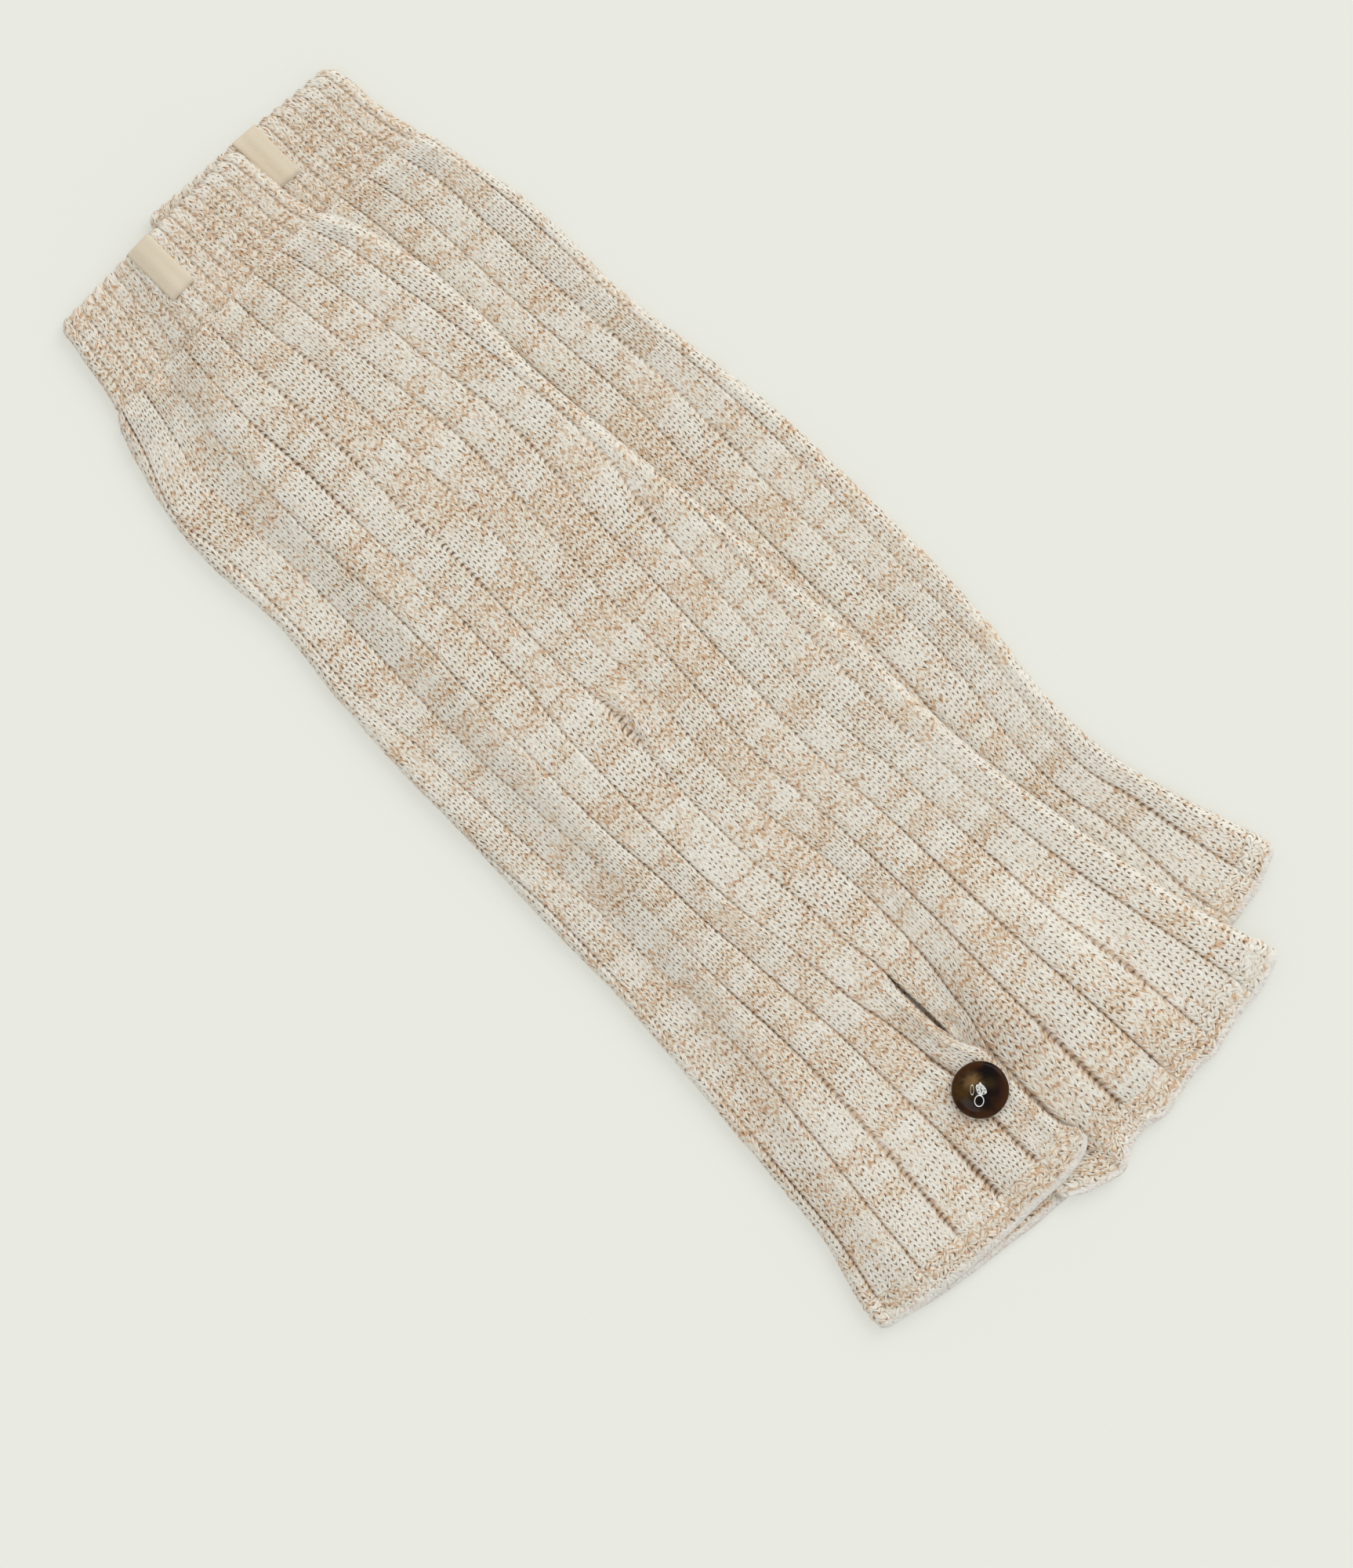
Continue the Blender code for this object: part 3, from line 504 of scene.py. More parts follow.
def leg_relief(which, side, wales, rows, x, y, gap, angle, band):
    """Height of a leg's knit, or its hem band's, over the plain tube."""
    first, last = rows_at(hem_top_of[which]), rows_at(CUFF_LINE)
    if band:
        share = (first - rows) / (first - rows_at(hem_end_of[which]))
        relief = moss_relief(wales, rows, share)
    else:
        line = np.round(wales / RIB_WALES) * side
        firm = FIRM + FIRM_BELOW * step(-60, -125, y) + FIRM_UNEVEN * ripple(31, line * 2.3, y / 22)
        relief = stitch_relief(wales, rows, gap, np.clip(firm, 0.3, 1.05))
    relief = edged(which, side, wales, rows, x, y, relief, band)
    if not band:
        gathered = step(CUFF_LINE - 22, CUFF_LINE - 7, y)
        rough = GATHER_UNEVEN * gathered * ripple(17, wales, y * 0.5)
        relief = relief * (1 + GATHER * gathered) + rough
        # the last rows round down to where they meet the cuff
        meets = np.sqrt(np.clip((last - rows) / 2.2, 0, 1))
        relief = relief * meets - 0.7 * (1 - meets)
    if which == "upper":
        relief = relief + crease(x, y) * (angle == 0)
    return laid(relief - 0.35 * np.sin(angle), angle, *UNDERSIDE)


def tube_point(which, side, wales, rows, outer, band=False):
    """Places (x, y, z) of the cloth at wales out from the slit line, and its true rows."""
    lines = lines_of[which]
    shape = np.broadcast(wales, rows).shape
    wales, true_rows = np.broadcast_to(wales, shape), np.broadcast_to(rows, shape)
    if outer and not band:
        first, last = rows_at(hem_top_of[which]), rows_at(CUFF_LINE)
        true_rows = slanted(wales, rows, RIB_WALES, first, last, STRAIGHT)
    y = y_at(true_rows)
    x_flat, gap, places = wale_x(which, side, wales, y)
    start = places[0]
    edge = curve(lines["left" if side < 0 else "right"], y)
    pad = SIDE_PAD if outer else WALL + HOLLOW / 2 - TURN
    room = np.abs(edge - start) - TURN - pad
    middle = (curve(lines["left"], y) + curve(lines["right"], y)) / 2
    to_middle = 2 * room + math.pi * TURN + side * (start - middle)
    last_far = side * (places[-1] - start)
    beyond = np.clip((wales / RIB_WALES - PANEL_RIBS) / (HALF_RIBS - PANEL_RIBS), 0, 1)
    on_panel = wales < RIB_WALES * PANEL_RIBS
    far = np.where(on_panel, side * (x_flat - start), last_far + (to_middle - last_far) * beyond)
    out, angle, z = round_the_side(far, room, outer)
    x = start + side * out
    if outer:
        relief = leg_relief(which, side, wales, rows, x, y, gap, angle, band)
        x = x + side * relief * np.sin(angle)
        z = np.maximum(z + relief * np.cos(angle), 0.0)
    if side < 0:
        z = z + np.where(angle == 0, left_lift(which, wales, x, y), 0.0)
    return (*settled(which, side, x, y, angle / math.pi), z, true_rows)


def left_lift(which, wales, x, y):
    """How high the left flap lies over the right one, and how its lower corner curls up."""
    under = curve(lines_of[which]["under"], y) - 1
    lift = FLAP_LIFT * crossed(which, y) * step(under - FLAP_SLOPE, under, x)
    corner = np.clip(1 - wales / RIB_WALES / 1.2, 0, 1)
    return lift + curl_of[which] * corner * step(hem_top_of[which] + 2, hem_end_of[which], y)


def settled(which, side, x, y, on_bottom):
    """Slants the cloth's cuff end, and brings its hem to the hem's real edge."""
    nominal = hem_end_of[which]
    left_edge, right_edge, bottom_edge = hems_of[which]
    top = curve(left_edge if side < 0 else right_edge, x)
    edge = top * (1 - on_bottom) + curve(bottom_edge, x) * on_bottom
    edge = edge + HEM_WAVE * ripple(21 if side < 0 else 22, x / 3.2, on_bottom * 2)
    share = step(slit_of[which] - 30, nominal + 8, y)
    return x, y + slant_of(which, x, y) + (edge - nominal) * share


def slant_of(which, x, y):
    """How far a leg warmer's cuff end slants up at a place."""
    middle = curve(lines_of[which]["flap"], CUFF_LINE)
    return lean_of[which] * (x - middle) * step(LEAN_END, CUFF_LINE, y)


def tube_columns(fine=True):
    """Side and wale of each column round the tube, from the slit line's left to its right."""
    left = columns(PANEL_RIBS, fine)
    bottom = columns(HALF_RIBS, False)
    bottom = bottom[bottom > RIB_WALES * PANEL_RIBS]
    one = np.concatenate([left, bottom])
    sides = np.concatenate([-np.ones(len(one)), np.ones(len(one) - 1)])
    return sides, np.concatenate([one, one[-2::-1]])


def surface(which, sides, wales, rows, outer, band=False):
    """Vertex places for every row and column, in millimetres, and the true rows."""
    found = np.zeros((len(rows), len(wales), 3))
    true = np.zeros((len(rows), len(wales)))
    for side in (-1, 1):
        pick = sides == side
        x, y, z, rows_there = tube_point(which, side, wales[None, pick], rows[:, None], outer, band)
        z = z + rise_of(which, x, y)
        found[:, pick] = np.stack([x, y, z], axis=-1)
        true[:, pick] = rows_there
    return found, true


def quads_of(grid):
    """Quads between the vertex numbers of a grid."""
    corners = (grid[:-1, :-1], grid[:-1, 1:], grid[1:, 1:], grid[1:, :-1])
    return [tuple(quad) for quad in np.stack(corners, axis=-1).reshape(-1, 4)]


def zipped(one, one_keys, two, two_keys):
    """Triangles between two edges of unlike spacing, both from low keys to high ones."""
    faces, i, j = [], 0, 0
    while i < len(one) - 1 or j < len(two) - 1:
        after_one = one_keys[i + 1] if i < len(one) - 1 else math.inf
        after_two = two_keys[j + 1] if j < len(two) - 1 else math.inf
        if after_one <= after_two:
            faces.append((one[i], one[i + 1], two[j]))
            i += 1
        else:
            faces.append((one[i], two[j + 1], two[j]))
            j += 1
    return faces


def cloth_object(name, places, faces, corner_uv):
    """A closed cloth from vertex places in millimetres, with wales and rows as its UV map."""
    mesh = bpy.data.meshes.new(name)
    world = places * MM + np.array(home)
    mesh.from_pydata(world.tolist(), [], [list(f) for f in faces])
    layer = mesh.uv_layers.new(name="stitches")
    layer.data.foreach_set("uv", np.asarray(corner_uv, np.float32).ravel())
    shell = bmesh.new()
    shell.from_mesh(mesh)
    bmesh.ops.remove_doubles(shell, verts=shell.verts, dist=1e-7)
    bmesh.ops.recalc_face_normals(shell, faces=shell.faces)
    for face in shell.faces:
        face.smooth = True
    shell.to_mesh(mesh)
    shell.free()
    obj = bpy.data.objects.new(name, mesh)
    bpy.context.scene.collection.objects.link(obj)
    return obj


ALL_WALES = 2 * HALF_RIBS * RIB_WALES
ALL_ROWS = 220.0  # rows that the UV map's height stands for


def off_middle(grid):
    """How many columns right of the grid's middle one each of its vertices is."""
    rows, cols = grid.shape
    return np.tile(np.arange(cols), rows) - (cols - 1) // 2


def corner_places(faces, u, v, column):
    """UV of each face's corners: 0.5 at the slit line, less left of it and more right of it.

    column counts from the bottom layer's middle, where the two halves meet."""
    found = []
    for face in faces:
        on_right = max(column[k] for k in face) > 0
        for k in face:
            right = column[k] > 0 or (column[k] == 0 and on_right)
            found.append((0.5 + u[k] if right else 0.5 - u[k], v[k]))
    return found


def shell_of(name, outer, inner, keys, slit_rows=None, even=False):
    """Joins an outer and an inner grid into one closed cloth.

    Each grid is its vertices' places, wales and rows. keys are the outer and inner columns'
    keys, then the rows'. slit_rows tells how many outer and inner rows are slit, and even
    that the wales are counted right round the tube."""
    (places, wales, rows), (inner_places, inner_wales, inner_rows) = outer, inner
    o_grid = np.arange(wales.size).reshape(wales.shape)
    i_grid = wales.size + np.arange(inner_wales.size).reshape(inner_wales.shape)
    u = np.concatenate([wales.ravel(), inner_wales.ravel()]) / ALL_WALES
    v = np.concatenate([rows.ravel(), inner_rows.ravel()]) / ALL_ROWS
    faces = quads_of(o_grid) + quads_of(i_grid)
    col_keys, inner_col_keys, row_keys, inner_row_keys = keys
    for row in (0, -1):
        faces += zipped(o_grid[row], col_keys, i_grid[row], inner_col_keys)
    if slit_rows is not None:
        slit, inner_slit = slit_rows
        for col in (0, -1):
            faces += zipped(
                o_grid[:slit, col], row_keys[:slit],
                i_grid[:inner_slit, col], inner_row_keys[:inner_slit],
            )
    if even:
        corner_uv = [(u[k], v[k]) for face in faces for k in face]
    else:
        column = np.concatenate([off_middle(o_grid), off_middle(i_grid)])
        corner_uv = corner_places(faces, u, v, column)
    vertices = np.concatenate([places.reshape(-1, 3), inner_places.reshape(-1, 3)])
    return cloth_object(name, vertices, faces, corner_uv)


def vertex_grid(places, wales, true_rows):
    """A grid as shell_of takes it, from its places, its columns' wales and its true rows."""
    return places, np.broadcast_to(wales, true_rows.shape), true_rows


def column_keys(sides, wales):
    """The columns' order round the tube: up on its left half and on through its right."""
    return np.where(sides < 0, wales, ALL_WALES - wales)


def make_leg(which):
    first, last = rows_at(hem_top_of[which]), rows_at(CUFF_LINE)
    count = int(round((last - first) * STITCH_STEPS))
    rows = first + (last - first) * np.arange(count + 1) / count
    # crests and grooves fall on whole and half rows
    rows = np.clip(np.round(rows * STITCH_STEPS) / STITCH_STEPS, first, last)
    rows[0], rows[-1] = first, last
    rows = np.unique(rows)
    slit_row = np.argmin(np.abs(y_at(rows) - slit_of[which]))
    sides, wales = tube_columns()
    outer, true = surface(which, sides, wales, rows, True)
    # the plain inside has only some of the columns and rows
    cols = [i for i, w in enumerate(wales) if w % RIB_WALES in (0, 3)]
    picked = sorted(set(range(0, len(rows), 8)) | {len(rows) - 1, slit_row})
    inner, inner_true = surface(which, sides[cols], wales[cols], rows[picked], False)
    inner_slit = picked.index(slit_row)
    for grid, slit_at in ((outer, slit_row), (inner, inner_slit)):
        grid[slit_at:, -1] = grid[slit_at:, 0]
    keys = column_keys(sides, wales)
    return shell_of(
        f"{which}_leg_knit",
        vertex_grid(outer, wales, true),
        vertex_grid(inner, wales[cols], inner_true),
        (keys, keys[cols], rows, rows[picked]),
        slit_rows=(slit_row + 1, inner_slit + 1),
    )


def make_hem(which):
    first, end = rows_at(hem_top_of[which] + TUCK), rows_at(hem_end_of[which])
    rows = np.append(np.linspace(end, rows_at(hem_top_of[which]), HEM_STEPS), first)
    sides, wales = tube_columns()
    outer, true = surface(which, sides, wales, rows, True, True)
    cols = [i for i, w in enumerate(wales) if w % RIB_WALES in (0, 1.5, 3, 4.5)]
    picked = list(range(0, len(rows), 3)) + [len(rows) - 1]
    inner, inner_true = surface(which, sides[cols], wales[cols], rows[picked], False)
    keys = column_keys(sides, wales)
    return shell_of(
        f"{which}_hem_band",
        vertex_grid(outer, wales, true),
        vertex_grid(inner, wales[cols], inner_true),
        (keys, keys[cols], rows, rows[picked]),
        slit_rows=(len(rows), len(picked)),
    )


def cuff_relief(wales, rows, y, last, angle):
    """Height of a cuff's knit over the plain tube, with a rolled top and a tucked lower end."""
    from_purl = off_purl(wales, CUFF_WALES)
    relief = CUFF_RIB * np.sin(math.pi * np.clip((from_purl - 0.2) / 2.0, 0, 0.5))
    relief = relief + strands(wales, rows) + CUFF_FUZZ * ripple(13, wales * 1.7, rows * 1.5)
    relief = np.where(from_purl < 0.3, -0.2, relief)
    near_leg = step(CUFF_LINE + 7, CUFF_LINE, y)
    relief = relief + near_leg * 0.5 * ripple(9, wales * 0.9, y * 0.8)
    relief = relief - 1.5 * quarter_round(1 - np.clip((last - rows) / 0.9, 0, 1))
    tucked = step(CUFF_LINE + 1.5, CUFF_LINE - 1, y)
    relief = relief * (1 - tucked) - 0.9 * tucked
    return laid(relief, angle, *CUFF_UNDERSIDE)


def cuff_surface(which, wales, rows, outer):
    """The cuff's places: a flat tube whose wales run evenly round it from its top's middle."""
    shape = np.broadcast(wales, rows).shape
    wales, rows = np.broadcast_to(wales, shape), np.broadcast_to(rows, shape)
    top = cuffs_of[which]["left"][0][-1]
    first, last = rows_at(CUFF_LINE - CUFF_TUCK), rows_at(top)
    true_rows = rows
    if outer:
        true_rows = slanted(wales, rows, CUFF_WALES, first, last, CUFF_STRAIGHT)
    y = y_at(true_rows)
    left, right = curve(cuffs_of[which]["left"], y), curve(cuffs_of[which]["right"], y)
    pad = CUFF_PAD if outer else WALL + HOLLOW / 2 - TURN
    half = (right - left) / 2 - TURN - pad
    around = 4 * half + 2 * math.pi * TURN
    inside = np.mod(wales, CUFF_WALES)
    shut = np.interp(inside, (0, 0.5, 2.5, 3), (0, 0.16, 2.84, 3))  # purl wales fold in
    far = (wales - inside + shut) / (CUFF_RIBS * CUFF_WALES) * around
    side = np.where(far < around / 2, 1.0, -1.0)
    far = np.where(side > 0, far, around - far)
    out, angle, z = round_the_side(far, half, outer)
    if outer:
        relief = cuff_relief(wales, rows, y, last, angle)
        out = out + relief * np.sin(angle)
        z = np.maximum(z + relief * np.cos(angle), 0.0)
    x = (left + right) / 2 + side * out
    scallop = 0.45 * np.sin(2 * math.pi * (wales / CUFF_WALES - 0.25))
    wave = (0.35 * ripple(11, x / 5.0) + scallop) * step(top - 5, top, y)
    y_out = y + wave + slant_of(which, x, y)
    z = z + rise_of(which, x, y_out)
    return np.stack([x, y_out, z], axis=-1), true_rows


def make_cuff(which):
    top = cuffs_of[which]["left"][0][-1]
    first, last = rows_at(CUFF_LINE - CUFF_TUCK), rows_at(top)
    rows = np.arange(math.ceil(first * 2) / 2, last, 0.5)
    rows = np.concatenate([[first], rows[rows > first + 0.1], [last - 0.3, last - 0.1, last]])
    rows = np.unique(rows)
    inside = [0.0] + [0.5 + 0.25 * k for k in range(9)]
    wales = [CUFF_WALES * rib + k for rib in range(CUFF_RIBS) for k in inside]
    wales = np.array(wales + [CUFF_WALES * CUFF_RIBS], float)
    outer, true = cuff_surface(which, wales[None, :], rows[:, None], True)
    cols = [i for i, w in enumerate(wales) if w % CUFF_WALES in (0, 1.5)]
    picked = list(range(0, len(rows) - 1, 5)) + [len(rows) - 1]
    inner, inner_true = cuff_surface(which, wales[None, cols], rows[picked][:, None], False)
    for grid in (outer, inner):
        grid[:, -1] = grid[:, 0]
    return shell_of(
        f"{which}_cuff_knit",
        vertex_grid(outer, wales, true),
        vertex_grid(inner, wales[cols], inner_true),
        (wales, wales[cols], rows, rows[picked]),
        even=True,
    )


# ---- Materials -------------------------------------------------------------------------
class Number:
    """A number inside a material, worked out with +, - and * as usual."""

    def __init__(self, tree, socket):
        self.tree, self.socket = tree, socket

    def do(self, operation, *others, clamp=False):
        node = self.tree.nodes.new("ShaderNodeMath")
        node.operation = operation
        node.use_clamp = clamp
        for socket, value in zip(node.inputs, (self, *others)):
            if isinstance(value, Number):
                self.tree.links.new(value.socket, socket)
            else:
                socket.default_value = value
        return Number(self.tree, node.outputs[0])

    def __add__(self, other):
        return self.do("ADD", other)

    def __sub__(self, other):
        return self.do("SUBTRACT", other)

    def __mul__(self, other):
        return self.do("MULTIPLY", other)

    def power(self, exponent):
        return self.do("POWER", exponent)

    def clamped(self):
        return self.do("ADD", 0.0, clamp=True)

    def rest(self):
        """What it leaves of 1."""
        return self * -1 + 1

    def between(self, low_value, high_value):
        """0 up to low_value, 1 from high_value, and a smooth rise between."""
        node = self.tree.nodes.new("ShaderNodeMapRange")
        node.interpolation_type = "SMOOTHSTEP"
        self.tree.links.new(self.socket, node.inputs["Value"])
        node.inputs["From Min"].default_value = low_value
        node.inputs["From Max"].default_value = high_value
        return Number(self.tree, node.outputs["Result"])

    def wave(self):
        """0 at whole numbers and 1 half way."""
        return (self * (2 * math.pi)).do("COSINE") * -0.5 + 0.5


def blank(name, roughness):
    material = bpy.data.materials.new(name)
    material.use_nodes = True
    tree = material.node_tree
    shader = tree.nodes["Principled BSDF"]
    shader.inputs["Roughness"].default_value = roughness
    return material, tree, shader


def place_of(tree, x, y, z=0.0):
    node = tree.nodes.new("ShaderNodeCombineXYZ")
    for socket, value in zip(node.inputs, (x, y, z)):
        if isinstance(value, Number):
            tree.links.new(value.socket, socket)
        else:
            socket.default_value = value
    return node.outputs[0]


def noise(tree, place, scale=1.0, detail=1.0, roughness=0.5):
    node = tree.nodes.new("ShaderNodeTexNoise")
    tree.links.new(place, node.inputs["Vector"])
    node.inputs["Scale"].default_value = scale
    node.inputs["Detail"].default_value = detail
    node.inputs["Roughness"].default_value = roughness
    return Number(tree, node.outputs["Fac"])


def cloud(tree, x, y, layer, detail=1.0, roughness=0.5):
    """Soft noise over two numbers; each layer has its own."""
    return noise(tree, place_of(tree, x, y, layer), 1.0, detail, roughness)


def chance(tree, x, y, layer):
    """A number from 0 to 1, another for every place."""
    node = tree.nodes.new("ShaderNodeTexWhiteNoise")
    tree.links.new(place_of(tree, x, y, layer), node.inputs["Vector"])
    return Number(tree, node.outputs["Value"])


def mixed(tree, share, one, other):
    """A colour between two, each a colour or a socket."""
    node = tree.nodes.new("ShaderNodeMix")
    node.data_type = "RGBA"
    tree.links.new(share.socket, node.inputs["Factor"])
    for socket, value in ((node.inputs[6], one), (node.inputs[7], other)):
        if isinstance(value, bpy.types.NodeSocket):
            tree.links.new(value, socket)
        else:
            socket.default_value = (*value, 1)
    return node.outputs[2]


def bumped(tree, shader, height, distance, strength):
    node = tree.nodes.new("ShaderNodeBump")
    node.inputs["Distance"].default_value = distance
    node.inputs["Strength"].default_value = strength
    tree.links.new(height.socket, node.inputs["Height"])
    tree.links.new(node.outputs["Normal"], shader.inputs["Normal"])


# The yarn's colours.
CREAM = (0.77, 0.715, 0.595)
PALE = (0.895, 0.86, 0.765)
COOL = (0.71, 0.75, 0.71)
TAN = (0.48, 0.265, 0.135)
SAND = (0.69, 0.47, 0.285)
DYED = (0.73, 0.59, 0.41)
# painted shade: in the pits between the strands and in the purl lines
SHADE = (0.15, 0.085, 0.042)
GROOVE_SHADE_BROWN = (0.40, 0.22, 0.105)  # painted brown shade beside the purl lines
EDGE_GREY_SHADE = (0.78, 0.775, 0.74)  # painted grey shading along the hem's rolled edge
KNIT_BUMP = (0.00026, 0.42)  # distance and strength

# Each knit: its ribs' wales, how loosely it lies, how its tan lengths spread and how many
# there are, how strongly its pits are painted in shade, and how strongly its purl lines are.
KNITS = {
    "stocking": (RIB_WALES, 1.0, 6.0, 0.36, 2.2, 0.9),
    "moss": (RIB_WALES, 2.0, 6.0, 1.1, 2.2, 0.0),
    "cuff": (CUFF_WALES, 1.4, 3.6, 0.75, 1.5, 0.7),
}


def knit_material(name, pattern, edge_row=None):
    """Marled wool in the stitches of a piece: pattern is stocking, moss or cuff.

    edge_row is the row where a hem ends: it is painted a pale grey there, for the shading of its
    rolled edge."""
    material, tree, shader = blank(name, 0.92)
    moss, stocking = pattern == "moss", pattern == "stocking"
    rib_wales, loose, spread, tan_share, pit_shade, line_shade = KNITS[pattern]
    uv = tree.nodes.new("ShaderNodeUVMap")
    uv.uv_map = "stitches"
    parts = tree.nodes.new("ShaderNodeSeparateXYZ")
    tree.links.new(uv.outputs["UV"], parts.inputs["Vector"])
    even_wales = (Number(tree, parts.outputs["X"]) - 0.5) * ALL_WALES
    even_rows = Number(tree, parts.outputs["Y"]) * ALL_ROWS
    # the stitches sway a little to the side and up
    sway = cloud(tree, even_wales * 0.85, even_rows * 0.95, 6.1, 0.0)
    slip = cloud(tree, even_wales * 0.6, even_rows * 0.75, 14.3)
    wales = even_wales + (sway - 0.5) * 0.38 * loose
    rows = even_rows + (slip - 0.5) * 0.9 * loose
    from_purl = wales.do("PINGPONG", rib_wales / 2)
    across = wales.do("PINGPONG", 0.5) * 2
    leg = (across * math.pi).do("SINE").power(1.3)
    if moss:
        strand_rows = rows + across.rest() * 1.1
        leg = leg * 0.8 + 0.2
    else:
        on_knit = from_purl.between(0.42, 0.5)
        strand_rows = rows + across.rest() * SLANT * on_knit
        leg = leg * on_knit + on_knit.rest() * 0.4
    crest = strand_rows.wave()
    row_number = strand_rows.do("FLOOR")
    half_wale = (wales * 2).do("FLOOR")
    rib_number = (wales * (1 / rib_wales)).do("FLOOR")
    # the yarn's dye: cream with lengths of tan, a rib wide and a few rows high
    shift = rib_number * (5.37 if stocking else 0.0) + wales * 0.06
    patch = cloud(tree, shift, row_number * 0.33, 3.7)
    drift = cloud(tree, wales * 0.05, rows * 0.02, 9.1, 0.0)
    odd = chance(tree, half_wale, row_number, 1.5)
    run = chance(tree, rib_number + (wales * 0.31).do("FLOOR") * 0.37, row_number, 7.5)
    tan = (patch - 0.5) * spread + (drift - 0.5) * 1.6 + (run - 0.5) * 0.9 + (odd - 0.5) * 0.5
    if not moss:
        tan = tan + from_purl.between(1.0, 0.35) * 0.5
    tan = (tan + tan_share).between(-0.1, 1.1)
    # its plies: a tan one winds round the pale ones, so it shows as slanting flecks
    stir = cloud(tree, wales * 2.3, strand_rows * 1.7, 2.2, 2.0, 0.6)
    wound = (strand_rows * 0.85 + across * 0.9 + odd * 2.7 + stir * 1.6).wave()
    fibre = cloud(tree, wales * 6.0, rows * 7.0, 1.1, 2.0, 0.6)
    broken = cloud(tree, wales * 1.6, rows * 1.5, 17.7)
    fleck = wound.between(0.38, 0.74) * broken.between(0.36, 0.50) * 1.2
    fleck = fleck * (fibre.between(0.3, 0.6) * 0.4 + 0.6)
    other = chance(tree, half_wale, row_number, 12.5)
    speck = cloud(tree, wales * 4.5, rows * 4.0, 25.0, 1.0, 0.6)
    colour = mixed(tree, (stir.between(0.33, 0.62) * 0.6 + other * 0.4), CREAM, PALE)
    colour = mixed(tree, speck.between(0.45, 0.62) * 0.4, colour, COOL)
    colour = mixed(tree, tan * 0.3, colour, DYED)
    tint = mixed(tree, fibre.between(0.35, 0.62), TAN, SAND)
    stray = odd.between(0.70, 0.90) * 0.6
    colour = mixed(tree, (fleck * (tan * 0.8 + stray + 0.1)).clamped(), colour, tint)
    # painted shade down between the strands and in their pits, deeper here and there
    depth = chance(tree, (wales * 2 + 0.5).do("FLOOR"), (strand_rows + 0.5).do("FLOOR"), 4.5)
    stretch = cloud(tree, wales * 0.10, rows * 0.07, 21.0)
    depth = depth.power(1.5) + stretch.between(0.38, 0.68) * 0.5 + 0.15
    trough = crest.rest().power(3.0)
    pit = leg.rest().power(2.2) * trough * pit_shade
    if moss:
        shade = pit * depth * 0.9 + trough * (depth * 0.22 + 0.08)
        # painted grey shading along the hem's rolled edge, with less painted shade between its strands
        rim = even_rows.between(edge_row + 1.7, edge_row + 0.5)
        shade = shade * (rim * -0.7 + 1)
        colour = mixed(tree, rim * 0.7, colour, EDGE_GREY_SHADE)
    else:
        # the purl lines: painted shade where they are deep, painted brown shade along their sides
        strength = cloud(tree, rib_number * 3.3, rows * 0.045, 30.0).between(0.41, 0.63)
        if stocking:
            strength = (strength + even_rows.between(66, 44) * 0.25).clamped()
        # painted shade in the purl lines' crevices, strongest where they are shut
        line = from_purl.between(0.5, 0.1) * (crest * -0.45 + 0.75)
        shade = pit * depth + trough * 0.04 + line * (strength * 0.8 + 0.1) * line_shade
        # painted brown shade along the sides of the purl lines' grooves
        groove_shade = from_purl.between(0.95, 0.2) * (even_rows.between(72, 40) * 0.5 + strength * 0.15)
        colour = mixed(tree, (groove_shade * fibre.between(0.25, 0.6)).clamped(), colour, GROOVE_SHADE_BROWN)
    colour = mixed(tree, shade.clamped(), colour, SHADE)
    tree.links.new(colour, shader.inputs["Base Color"])
    bumped(tree, shader, crest * (leg * 0.6 + 0.4) + wound * 0.2 + fibre * 0.4, *KNIT_BUMP)
    shader.inputs["Sheen Weight"].default_value = 0.45
    shader.inputs["Sheen Roughness"].default_value = 0.5
    shader.inputs["Specular IOR Level"].default_value = 0.15
    return material


def object_place(tree):
    node = tree.nodes.new("ShaderNodeTexCoord")
    return node.outputs["Object"]


def plan_place(tree, middle=Vector()):
    """x and y in millimetres, counted from middle."""
    parts = tree.nodes.new("ShaderNodeSeparateXYZ")
    tree.links.new(object_place(tree), parts.inputs["Vector"])
    x = (Number(tree, parts.outputs["X"]) - middle.x) * (1 / MM)
    y = (Number(tree, parts.outputs["Y"]) - middle.y) * (1 / MM)
    return x, y


TAPE_DARK, TAPE_LIGHT = (0.68, 0.585, 0.437), (0.725, 0.642, 0.495)


def tape_material():
    """Bare beige tape in a slanting twill."""
    material, tree, shader = blank("beige woven tape", 0.85)
    x, y = plan_place(tree)
    twill = ((x * 0.75) + (y * 1.05)).wave()
    thread = ((y * 1.3) - (x * 1.1)).wave()
    uneven = noise(tree, place_of(tree, x, y), 0.9, 2.0)
    share = (twill * 0.6 + thread * 0.3 + (uneven - 0.4) * 0.6).clamped()
    tree.links.new(mixed(tree, share, TAPE_DARK, TAPE_LIGHT), shader.inputs["Base Color"])
    bumped(tree, shader, twill * 0.7 + thread * 0.5, 0.00008, 0.5)
    shader.inputs["Specular IOR Level"].default_value = 0.25
    return material


HORN_BLACK, HORN_BROWN = (0.005, 0.002, 0.0015), (0.020, 0.007, 0.002)
HORN_RIM = (0.060, 0.020, 0.004)
# Olive and amber glows in the horn, the amber ones a painted highlight: x and y from its middle,
# reach, strength and colour.
HORN_TINTS_AND_HIGHLIGHTS = (
    (3.6, -0.4, 3.6, 0.5, (0.045, 0.033, 0.007)),
    (-4.5, 3.8, 6.5, 0.7, (0.075, 0.036, 0.006)),
    (0.2, 3.9, 4.8, 0.85, (0.23, 0.135, 0.05)),
)


